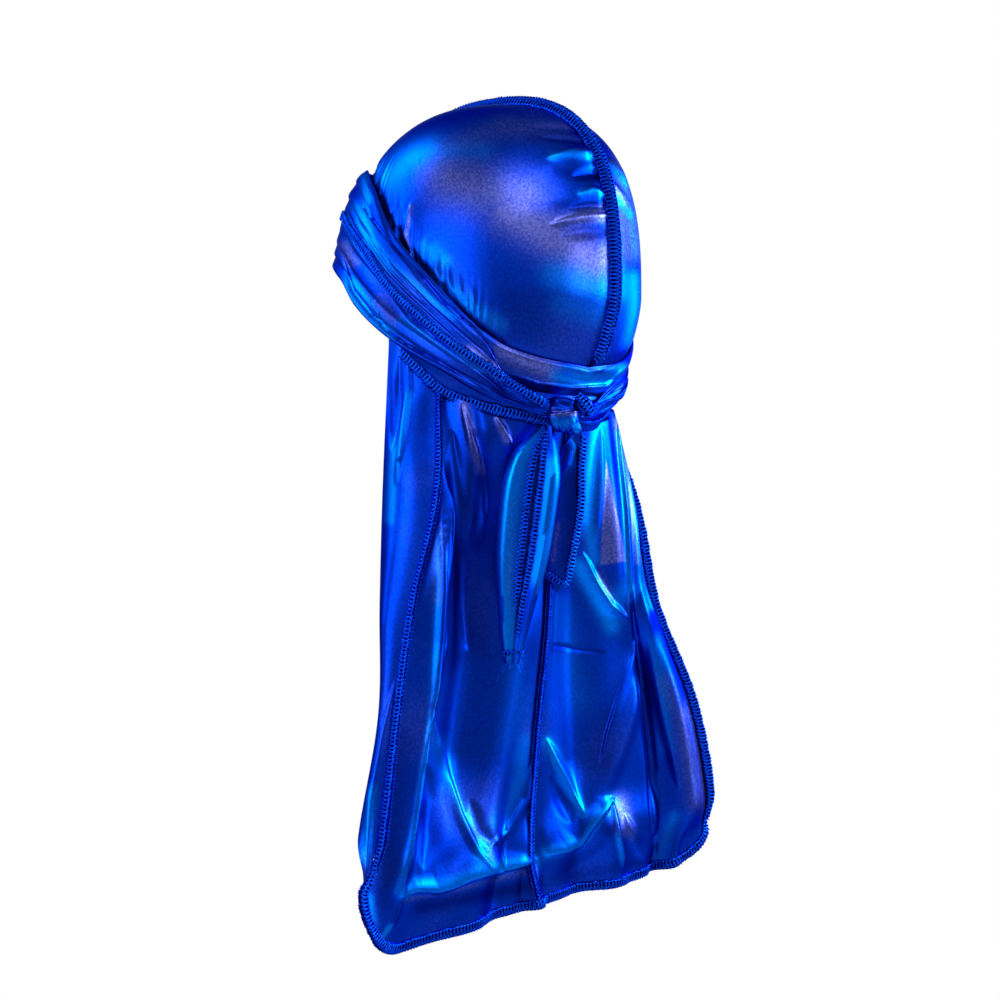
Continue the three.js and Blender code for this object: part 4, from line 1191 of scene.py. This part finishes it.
# Painted highlights on the tail's ridges and crest, and painted shade (below nought) in its valleys and under
# the hem's curl
tailPaintedLight = [
    ([(409, 396), (400, 430), (392, 470), (389, 520)], 5, 0.6),
    ([(372, 790), (364, 860)], 6, 0.5),
    ([(396, 380), (391, 430)], 5, -0.7),
    ([(390, 560), (388, 690)], 12, -0.35),
    ([(370, 898), (372, 924)], 4.5, 1.0),
    ([(390, 926), (380, 941)], 2.5, 0.9),
    ([(424, 400), (427, 470)], 7, -0.5),
    ([(440, 530), (436, 640), (433, 700)], 5, 0.4),
    ([(431, 712), (420, 790), (408, 855), (396, 892)], 3.5, 0.55),
    ([(404, 740), (392, 840), (386, 900)], 12, -0.35),
    ([(470, 440), (466, 540), (468, 640)], 22, -0.5),
    ([(440, 742), (452, 790), (468, 822)], 7, 0.5),
    ([(428, 815), (444, 852)], 13, -0.7),
    ([(524, 740), (518, 780), (498, 822)], 9, 0.4),
    ([(482, 846), (474, 872)], 6, 0.6),
    ([(402, 893), (420, 884), (436, 885), (470, 874), (500, 866), (534, 861)], 6, 0.85),
    ([(420, 908), (470, 898), (536, 884)], 8, -0.7),
    ([(505, 850), (530, 820), (536, 770)], 6, -0.4),
    ([(547, 853), (566, 849), (580, 840), (592, 824), (612, 800)], 6, 0.75),
    ([(556, 800), (572, 826)], 10, -0.7),
    ([(560, 872), (600, 845), (614, 826)], 6, -0.4),
    ([(548, 742), (562, 770), (582, 812)], 6, 0.85),
    ([(612, 716), (604, 762)], 7, -0.35),
    ([(598, 425), (593, 470), (588, 520), (594, 560)], 6, 0.8),
    ([(578, 566), (594, 592), (612, 626)], 8, 0.95),
    ([(612, 602), (628, 588)], 9, 0.5),
    ([(618, 432), (623, 500), (627, 560), (630, 600)], 2.5, 0.7),
    ([(632, 470), (640, 550), (650, 606)], 5, 0.65),
    ([(552, 648), (604, 652)], 3, -0.5),
    ([(655, 640), (664, 700), (667, 748)], 7, 0.35),
    ([(640, 650), (648, 720), (650, 800)], 6, -0.45),
    ([(674, 815), (660, 856)], 5, 0.5),
    ([(612, 806), (622, 866)], 2.5, 0.5),
    ([(556, 880), (640, 862)], 6, -0.35),
    ([(500, 600), (520, 700), (512, 740)], 14, 0.15),
    ([(560, 610), (580, 700)], 14, 0.2),
]
# A patch of painted lilac highlight, where the cloth catches the light differently, with straight borders:
# three corners in the picture
tailLilacSheenPatch = [(600, 565), (627, 561), (606, 462)]
tailLilacSheenAmount = 0.7


def insideTriangle(corners, px, py, soft):
    amount = np.ones(px.shape)
    middle = np.mean(corners, 0)
    for k in range(3):
        x0, y0 = corners[k]
        x1, y1 = corners[(k + 1) % 3]
        across = np.array([y1 - y0, x0 - x1]) / math.hypot(x1 - x0, y1 - y0)
        across = across * np.sign(across @ (middle - [x0, y0]))
        amount = amount * smooth((px - x0) * across[0] + (py - y0) * across[1], -soft, soft)
    return amount


def tailPanel(name, side, node):
    s = tailSettings
    u = np.linspace(0.002, 0.998, s["columns"])
    if side < 0:
        u = u[::-1]
    share = np.linspace(-0.012, 1, s["rows"])[:, None]
    point = panelPoint(side, u[None, :], share)
    px, py = shownAt(point)
    normals = normalsOf(point)
    # No crease where the cloth is seen edge on
    broad = smooth(np.abs(normals @ backward), 0.08, 0.45)
    normals = normals * np.sign(normals @ backward)[..., None]
    inside = smooth(u, 0.0, 0.03) * (1 - smooth(u, 0.97, 1.0)) * (1 - smooth(share, 0.96, 1.0)) * broad
    point = point + normals * (creased(tailCreases, px, py) * inside)[..., None]
    marks = satinMarks(tailLilacSheen, tailPaintedLight, px, py)
    # The painted lilac highlight patch is laid over the other painted lilac highlight
    patch = tailLilacSheenAmount * insideTriangle(tailLilacSheenPatch, px, py, 1.0)
    marks["paintedLilacSheen"] = np.maximum(marks["paintedLilacSheen"], patch)
    return satinPiece(name, point, s["wall"], marks, node)


tailLeft = tailPanel("tailLeft", 1, "tail_left")
tailRight = tailPanel("tailRight", -1, "tail_right")

goreSettings = {"columns": 31, "rows": 181, "wall": 0.7, "tuck": 9}
goreCreases = [
    ([(409, 354), (410, 386), (404, 435), (396, 485)], 3.0, 2.2, 0.4),
    ([(400, 352), (398, 400), (392, 450)], 4.0, -2.2, 0.0),
    ([(397, 677), (384, 729), (370, 800), (366, 880)], 4.0, 1.5, 0.0),
    ([(372, 895), (370, 912), (373, 928)], 2.5, 1.2, 0.0),
]


def gorePoint(side, u, share):
    names = ("sideLeft", "frontLeft") if side > 0 else ("sideRight", "frontRight")
    u, share = spread(u, share)
    u = u * (1 - 0.85 * smooth(share, 0.93, 1.0))
    point = drape(names[0], names[1], u, share)
    chord = guideAt(names[1], share) - guideAt(names[0], share)
    out = unit(np.stack([-chord[..., 1] * side, chord[..., 0] * side, np.zeros(u.shape)], -1))
    width = np.linalg.norm(chord, axis=-1)
    swell = np.sin(math.pi * u) * smooth(share, 0.02, 0.2) * np.minimum(6, width * 0.25)
    return point + out * swell[..., None]


def gore(name, side, node):
    s = goreSettings
    u = np.linspace(0.004, 1, s["columns"])
    if side < 0:
        u = u[::-1]
    share = np.linspace(-0.012, 0.998, s["rows"])[:, None]
    point = gorePoint(side, u[None, :], share)
    # The top edge goes on up under the bands
    point[0, :, 2] += s["tuck"]
    px, py = shownAt(point)
    normals = normalsOf(point)
    normals = normals * np.sign(normals @ (backward * 0.5 - rightward * side))[..., None]
    inside = smooth(u, 0.0, 0.1) * (1 - smooth(u, 0.9, 1.0))
    point = point + normals * (creased(goreCreases, px, py) * inside)[..., None]
    if np.mean(normalsOf(point)[..., 0]) * side < 0:
        point = point[:, ::-1]
    px, py = shownAt(point)
    return satinPiece(name, point, s["wall"], satinMarks(tailLilacSheen, tailPaintedLight, px, py), node)


goreLeft = gore("goreLeft", 1, "gore_left")
goreRight = gore("goreRight", -1, "gore_right")
print("tail cloth made")

# Raised seams of the tail
tailSeamSettings = {"half": 0.9, "stand": 5.2}


def guideSeam(name, label, end, lean, node):
    s = tailSeamSettings
    share = np.linspace(0.002, end, 400)
    left = name == "sideLeft"

    def here(at):
        if name == "middle":
            return panelPoint(1, 0, at)
        return panelPoint(1 if left else -1, 1, at)

    line = here(share)
    along = unit(here(share + 0.005) - here(share - 0.005))
    if name == "middle":
        flat = panelPoint(1, 0.1, share) - panelPoint(-1, 0.1, share)
    elif left:
        flat = gorePoint(1, 0.25, share) - panelPoint(1, 0.93, share)
    else:
        flat = panelPoint(-1, 0.93, share) - gorePoint(-1, 0.25, share)
    flat = unit(flat * [1, 1, 0])
    out = unit(np.cross(along, flat))
    if name == "middle":
        turned = out[:, 1] < 0
    else:
        turned = out[:, 0] * (1 if left else -1) + out[:, 1] < 0
    out[turned] *= -1
    out = unit(out + flat * lean)
    line, out = evened(seamSettings["step"], line, out)
    along = unit(np.gradient(line, axis=0))
    side = unit(np.cross(unit(out), along))
    reach = np.linspace(0, 1, len(line))
    stand = s["stand"] * (1 if name == "middle" else 1 - 0.45 * smooth(reach, 0.93, 1.0))
    half = s["half"] + (0 if name == "middle" else 0.7 * smooth(reach, 0.7, 0.9))
    centre = line + out * (np.ones(len(line)) * stand / 2 - 0.4)[:, None]
    wide = (stand / 2 + 0.3) * seamWave(len(line))
    barSeam(label, centre, out, side, wide, half, node, label, ("One", "Two"), stand * 0.95)


guideSeam("middle", "tailSeam", 0.998, 2.3, "tail_seam")
guideSeam("sideLeft", "sideSeamLeft", 0.962, -0.9, "side_seam_left")
guideSeam("sideRight", "sideSeamRight", 0.962, -0.25, "side_seam_right")

hemSettings = {"wide": 5.5, "half": 1.0, "up": 0.045, "climb": 0.12}


def tailHem():
    s = hemSettings

    def place(reach):
        u = np.where(reach <= 1, np.sin(math.pi / 2 * np.minimum(reach, 1)), 1)
        share = np.where(reach <= 1, 1, 1 - (reach - 1) * 10 * s["up"])
        return u, share

    runs = []
    for side in (1, -1):
        reach = np.linspace(0, 1 + s["climb"], 400)
        u, share = place(reach)
        middle = panelPoint(side, u, share)
        before = panelPoint(side, *place(np.maximum(0, reach - 0.004)))
        ahead = panelPoint(side, *place(reach + 0.004)) - before
        ahead = unit(ahead) * -side
        across = (panelPoint(side, u, share) - panelPoint(side, u - 0.03, share)) * side
        drop = panelPoint(side, u, share) - panelPoint(side, u, share - 0.02)
        face = unit(np.cross(across, drop))
        down = unit(np.cross(ahead, face))
        away = middle - panelPoint(side, 0.5, 0.5)
        flip = dots(down, away) < 0
        down[flip] *= -1
        narrow = 1 - 0.65 * smooth(reach, 0.99, 1 + s["climb"])
        runs.append((middle - face * 0.35, down, face, narrow))
    parts = [np.concatenate([runs[0][k][::-1], runs[1][k][1:]]) for k in range(4)]
    middle, down, face, narrow = evened(seamSettings["step"], *parts)
    down, face = unit(softened(down, 30)), unit(softened(face, 30))
    middle = softened(middle, 14)
    inward = 1.3 * smooth(1 - narrow, 0.0, 0.25)
    centre = middle + down * ((s["wide"] / 2 + 0.1) * narrow - inward)[:, None]
    wide = (s["wide"] / 2 + 0.4) * seamWave(len(middle)) * narrow
    row = s["wide"] * 0.95 * narrow
    barSeam("tailHem", centre, down, face, wide, s["half"], "tail_hem", "tailHem", ("Front", "Back"), row)


tailHem()


# Neck seam: flat overlock where the tail joins the cap
def neckSeam():
    turn = np.linspace(neckEnds[1], neckEnds[0], 500)
    level = neckLevel(turn)
    middle = headPoint(turn, level)
    up = unit(headPoint(turn, level + 1) - headPoint(turn, level - 1))
    along = unit(headPoint(turn - 1, neckLevel(turn - 1)) - headPoint(turn + 1, neckLevel(turn + 1)))
    out = unit(np.cross(along, up))
    out[dots(out, middle * [1, 1, 0]) < 0] *= -1
    middle, up, out = evened(1.0, middle, up, out)
    up, out = unit(up), unit(out)
    band = addBand("neckSeam", middle, up, out, neckSeamWide / 2 + 0.3, 1.15)
    finishPiece(band, seamCloth, ["neck_seam"])
    addStitches("neckStitches", middle + out * 1.05, up, out, neckSeamWide * 0.92)


neckSeam()
print("seams made")

# Knot, in picture directions: right, towards the camera, up
knotSettings = {"middle": [26.5, 68.0, 48.6], "half": [9.2, 8.0, 11.5], "boxy": 2.7}
# Painted lilac highlight, and painted highlight and shade of the knot; shade is below nought, on its upper
# half
knotLilacSheen = [(552, 414, 578, 413, 2.5, 0.8), (533, 393, 550, 409, 3, 0.6)]
knotPaintedLight = [
    ([(553, 402), (575, 402)], 6, -0.7),
    ([(556, 423), (570, 422)], 5, 0.6),
    ([(577, 424), (577, 432)], 4, 0.9),
    ([(536, 402), (548, 412)], 3, 0.5),
]


def turned(shape, spot):
    return spot + shape[..., :1] * rightward + shape[..., 1:2] * backward + shape[..., 2:] * [0, 0, 1]


def ballPoints(half, rows, columns, boxy, swell):
    lift = math.pi * (np.linspace(0, 1, rows)[:, None] - 0.5)
    turn = 2 * math.pi * np.arange(columns)[None, :] / columns
    level = np.sin(lift) * np.ones(turn.shape)
    d = np.stack([np.cos(lift) * np.cos(turn), np.cos(lift) * np.sin(turn), level], -1)
    reach = (np.abs(d) ** boxy).sum(-1) ** (-1 / boxy)
    return d * (reach * swell(d))[..., None] * half


def tilted(shape, degrees):
    c, s = math.cos(math.radians(degrees)), math.sin(math.radians(degrees))
    right, up = shape[..., 0], shape[..., 2]
    return np.stack([right * c - up * s, shape[..., 1], right * s + up * c], -1)


def knot():
    s = knotSettings

    # The wrapped strap: its upper half lies under a folded lip, its lower half is drawn in to the bottom
    def wrapSwell(d):
        lip = d[..., 2] - 0.1 * d[..., 0]
        rise = 0.10 * smooth(-lip, -0.10, 0.0) - 0.03
        fold = 0.05 * bell((lip - 0.02) / 0.05)
        over = 0.05 * np.sin(d[..., 2] * 11 + d[..., 0] * 2.5) * smooth(lip, 0.05, 0.25)
        drawn = 0.03 * np.cos(d[..., 0] * 15 + d[..., 2] * 5) * smooth(-lip, 0.1, 0.5)
        return 0.9 + rise + fold + over + drawn

    wrap = ballPoints(np.array(s["half"]), 72, 84, s["boxy"], wrapSwell)
    wrap[..., 0] *= 1 - 0.18 * smooth(-wrap[..., 2], 3, 11)
    wrap[..., 0] += 1.2 * smooth(-wrap[..., 2], 0, 11)
    loop = ballPoints(np.array([5.6, 3.6, 4.8]), 36, 44, 2.4, lambda d: 1 - 0.1 * bell(d[..., 2] / 0.3))
    lobe = ballPoints(np.array([2.9, 3.2, 4.0]), 28, 34, 2.2, lambda d: 1 + 0.04 * np.cos(d[..., 0] * 9))
    strand = ballPoints(np.array([8.5, 3.0, 2.6]), 28, 40, 2.0, lambda d: 1 + 0.05 * np.cos(d[..., 2] * 8))
    shapes = [
        wrap,
        tilted(loop, -40) + [11.6, -1.0, 5.4],
        tilted(lobe, 20) + [7.4, 3.0, -7.6],
        tilted(strand, -38) + [-9.5, -1.5, 5.0],
    ]
    points = []
    faces = []
    for shape in shapes:
        rows, columns = shape.shape[:2]
        start = sum(len(p) for p in points)
        points.append(turned(shape, s["middle"]).reshape(-1, 3))
        for j in range(rows - 1):
            for i in range(columns):
                a = start + j * columns + i
                b = start + j * columns + (i + 1) % columns
                faces.append([a, a + columns, b + columns, b])
    points = np.concatenate(points)
    px, py = shownAt(points)
    marks = satinMarks(knotLilacSheen, knotPaintedLight, px, py)
    obj = addMesh("knotWrap", points, faces, np.zeros((len(points), 2)), marks)
    finishPiece(obj, satin, ["knot"])
    # Overlock along the loop at its upper right
    at = np.linspace(0, 1, 40)
    arc = np.stack([mix(7.8, 16.0, at), 1.6 + 1.6 * np.sin(math.pi * at), 9.6 - 9.5 * at**1.4], -1)
    line = turned(arc, s["middle"])
    out = unit(backward + rightward * 0.3 + np.array([0, 0, 0.35])) * np.ones((40, 1))
    across = unit(np.cross(out, unit(np.gradient(line, axis=0))))
    band = addBand("knotHem", line, across, out, 2.6, 0.9)
    finishPiece(band, seamCloth, [])
    addStitches("knotStitches", line + out * 0.8, across, out, 4.8)


knot()

# Hanging ends: share, middle x, y, level, half width, half depth
leftEnd = [
    [0, 33.0, 61.8, 41.4, 3.2, 2.4],
    [0.12, 36.2, 56.5, 25, 13, 3.2],
    [0.26, 36.6, 53, 6, 16, 3.4],
    [0.5, 36, 47.3, -27, 15, 3],
    [0.74, 35.3, 42, -58, 10.5, 2.6],
    [0.92, 34.4, 38.4, -82, 6, 2],
    [1, 34, 37.3, -93, 3.2, 1.6],
]
rightEnd = [
    [0, 17.3, 72, 38.2, 3.2, 2.4],
    [0.16, 17.9, 67.3, 25, 7.5, 3],
    [0.5, 15.4, 62.5, -6, 9, 3],
    [0.68, 14.7, 58.7, -23, 8.5, 2.8],
    [0.87, 14.3, 54.5, -41, 7.5, 2.4],
    [1, 13.9, 53.4, -52, 2, 1.8],
]
tieSettings = {"columns": 91, "rows": 127, "wall": 0.6, "hemLift": 0.3}
# Painted lilac highlight, and painted highlight and shade (shade below nought) of the hanging ends
tieLilacSheen = [(508, 480, 506, 640, 3, 0.4), (551, 560, 556, 525, 4, 0.5)]
leftPaintedLight = [
    ([(526, 438), (512, 466), (504, 520), (500, 580), (508, 650)], 12, 1.0),
    ([(558, 436), (561, 458), (557, 480), (553, 520), (547, 560), (538, 592)], 2.5, 0.95),
    ([(552, 462), (546, 520), (536, 580)], 6, 0.7),
    ([(548, 432), (550, 446)], 4, -0.7),
]
rightPaintedLight = [
    ([(572, 440), (575, 452), (570, 464)], 2, 0.8),
    ([(577, 480), (570, 560)], 12, -0.7),
    ([(566, 446), (562, 470)], 4, -0.8),
]
# Fold lines of the right end where it leaves the knot
tieCreases = [
    ([(571, 438), (574, 451), (571, 462), (563, 472)], 2.0, 1.3, 0.0),
    ([(578, 440), (580, 470), (577, 500)], 3.0, -0.9, 0.0),
]


def tieSurface(rows, slant, split, back, u, v):
    face = np.array([0.77, 0.64, 0])
    sideways = np.array([0.64, -0.77, 0])
    read = curveAt(rows, v)
    centre, wide, deep = read[..., :3], read[..., 3], read[..., 4]
    turn = mix(-0.485, 0.485, u) * 2 * math.pi + math.pi * back
    px = -np.sin(turn)
    py = np.cos(turn)
    sx = np.sign(px) * np.abs(px) ** 0.8 * wide + split * (1 - np.abs(px)) * wide * np.maximum(0, -py)
    dent = 0.5 * bell(px / 0.25) * np.maximum(0, -py) * (1 - back)
    sy = np.sign(py) * np.abs(py) ** 0.7 * deep * (1 - dent)
    # Each edge of the left end is rolled, with a hemmed strip along the middle
    rolls = bell((px - 0.66) / 0.24) + 0.8 * bell((px + 0.66) / 0.22)
    sy = sy - (1 - back) * np.minimum(0.3 * wide, 3.4) * rolls * smooth(-py, 0.0, 0.4)
    point = centre + sideways * sx[..., None] - face * sy[..., None]
    point[..., 2] += slant * (sx / 10) * smooth(v, 0.6, 1)
    return point


def tieEnd(name, rows, slant, split, back, node):
    s = tieSettings
    u = np.linspace(0, 1, s["columns"])[None, :]
    v = np.linspace(0, 1, s["rows"])[:, None]
    u, v = np.broadcast_arrays(u, v)
    point = tieSurface(rows, slant, split, back, u, v)
    if (point[:, 1:-1, 0] * normalsOf(point)[:, 1:-1, 0]).mean() < 0:
        point = point[:, ::-1]
    px, py = shownAt(point)
    normals = normalsOf(point)
    if back:
        shown = smooth(normals @ backward, 0.1, 0.4)
        point = point + normals * (creased(tieCreases, px, py) * shown)[..., None]
    marks = satinMarks(tieLilacSheen, rightPaintedLight if back else leftPaintedLight, px, py)
    return satinPiece(name, point, s["wall"], marks, node)


# An overlocked edge along one line of an end: u and v run from one to the other
def tieHem(name, shape, start, end, wide):
    k = np.linspace(0, 1, 120)
    u, v = mix(start[0], end[0], k), mix(start[1], end[1], k)
    middle = tieSurface(*shape, u, v)
    ahead = unit(np.gradient(middle, axis=0))
    near = tieSurface(*shape, u + 0.01, v) - tieSurface(*shape, u - 0.01, v)
    down = tieSurface(*shape, u, v + 0.01) - tieSurface(*shape, u, v - 0.01)
    out = unit(np.cross(near, down))
    centre = curveAt(shape[0], v)[..., :3]
    out = out * np.sign(dots(out, middle - centre))[:, None]
    out = unit(softened(out, 12))
    across = unit(np.cross(out, ahead))
    middle, across, out = evened(seamSettings["step"], middle + out * tieSettings["hemLift"], across, out)
    narrow = np.interp(np.linspace(0, 1, len(middle)), [0, 0.06, 0.9, 1], [0.6, 1, 1, 0.5])
    band = addBand(name, middle, across, out, wide / 2 * narrow, 0.55)
    finishPiece(band, seamCloth, [])
    addStitches(name + "Stitches", middle + out * 0.45, across, out, wide * 0.9 * narrow)


# Loose thread ends at the cut tip
def tieThreads(name, rows, slant, split, back):
    points = []
    faces = []
    spots = [(0.15, 9, -3), (0.3, 13, -6), (0.45, 6, 1), (0.6, 8, 2), (0.8, 5, 3)]
    for u, length, drift in spots:
        top = tieSurface(rows, slant, split, back, np.array(u), np.array(0.98))
        at = np.linspace(0, 1, 9)
        side = np.sin(at * 2.2 + u * 9) * 0.8 + at * drift * 0.7
        line = top + rightward * side[:, None] - np.array([0, 0, 1]) * (at * length)[:, None]
        start = sum(len(p) for p in points)
        ring = [line + rightward * 0.22 * math.cos(a) + backward * 0.22 * math.sin(a) for a in (0, 2.1, 4.2)]
        points.append(np.stack(ring, 1).reshape(-1, 3))
        for k in range(8):
            for i in range(3):
                a, b = start + k * 3 + i, start + k * 3 + (i + 1) % 3
                faces.append([a, a + 3, b + 3, b])
        faces.append([start, start + 1, start + 2])
        faces.append([start + 26, start + 25, start + 24])
    points = np.concatenate(points)
    obj = addMesh(name, points, faces, np.zeros((len(points), 2)))
    return finishPiece(obj, stitchThread, [])


leftShape = (leftEnd, 0, -0.15, 0)
rightShape = (rightEnd, 7, -0.1, 1)
tieLeft = tieEnd("tieLeft", *leftShape, "tie_end_left")
tieRight = tieEnd("tieRight", *rightShape, "tie_end_right")
tieHem("tieLeftHemOne", leftShape, (0.008, 0.02), (0.008, 0.74), 4.6)
tieHem("tieLeftHemTwo", leftShape, (0.992, 0.02), (0.992, 0.88), 4.6)
tieHem("tieLeftTip", leftShape, (0.02, 0.955), (0.98, 0.955), 4.0)
tieHem("tieRightHem", rightShape, (0.36, 0.03), (0.36, 0.93), 4.4)
tieHem("tieRightTip", rightShape, (0.33, 0.92), (0.72, 0.92), 4.4)
tieThreads("tieLeftThreads", *leftShape)
print("knot and ends made")
# Room: a pale round floor well below the piece, and soft lights
roomSettings = {"floor": -2.4, "radius": 5.0, "glow": 0.16}


def addRoom():
    s = roomSettings
    sides = 96
    points = [(0, 0, s["floor"])]
    for i in range(sides):
        t = 2 * math.pi * i / sides
        points.append((s["radius"] * math.cos(t), s["radius"] * math.sin(t), s["floor"]))
    faces = [[0, 1 + i, 1 + (i + 1) % sides] for i in range(sides)]
    mesh = bpy.data.meshes.new("paleFloor")
    mesh.from_pydata(points, [], faces)
    floor = addObject("paleFloor", mesh)
    material, tree, shader = newMaterial("palePaint")
    wanted = {
        "Base Color": (0.9, 0.9, 0.9, 1),
        "Roughness": 0.9,
        "Emission Color": (1, 1, 1, 1),
        "Emission Strength": s["glow"],
    }
    setInputs(tree, shader, wanted)
    mesh.materials.append(material)


def addLight(name, spot, aim, size, power):
    data = bpy.data.lights.new(name, "AREA")
    data.shape = "RECTANGLE"
    data.size, data.size_y = size
    data.energy = power
    light = addObject(name, data)
    light.location = spot
    ahead = unit(np.array(aim, float) - np.array(spot, float))
    right = unit(np.cross(ahead, [0, 0, 1]))
    upward = np.cross(right, ahead)
    matrix = np.stack([right, upward, -ahead], 1)
    light.rotation_euler = Matrix(matrix.tolist()).to_euler()


# Lights by picture directions: right, towards the camera, up, in metres from the middle
lightSettings = {
    "middle": (0.0, 0.0, -0.22),
    "high": {"at": (0.25, 1.25, 1.0), "size": (1.1, 0.5), "power": 8.9},
    "rightSide": {"at": (1.7, -0.1, 0.4), "size": (0.5, 1.0), "power": 48.6},
    "rightBack": {"at": (1.2, -1.2, 0.3), "size": (0.5, 1.0), "power": 22.7},
    "rightFront": {"at": (1.3, 1.0, 0.3), "size": (0.6, 0.6), "power": 4.1},
    "leftFront": {"at": (-1.25, 1.05, 0.25), "size": (1.0, 0.9), "power": 12.5},
    "leftSide": {"at": (-1.4, -0.3, 0.8), "size": (0.6, 1.2), "power": 19.4},
    "world": 0.31,
    "behind": 1.0,
}


def addLights():
    s = lightSettings
    middle = np.array(s["middle"])
    for name in ("high", "rightSide", "rightBack", "rightFront", "leftFront", "leftSide"):
        right, near, up = s[name]["at"]
        spot = middle + rightward * right + backward * near + np.array([0, 0, up])
        addLight(name, spot, middle, s[name]["size"], s[name]["power"])
    world = bpy.data.worlds.new("softWorld")
    world.use_nodes = True
    tree = world.node_tree
    shade = next(n for n in tree.nodes if n.type == "BACKGROUND")
    # The backdrop looks white, and lights the piece more softly
    seen = addNode(tree, "ShaderNodeLightPath", {}).outputs["Is Camera Ray"]
    strength = ranged(tree, seen, (0, 1), (s["world"], s["behind"]))
    setInputs(tree, shade, {"Color": (1, 1, 1, 1), "Strength": strength})
    bpy.context.scene.world = world


addRoom()
addLights()
bpy.context.scene.view_settings.view_transform = "Standard"
print("room and lights made")
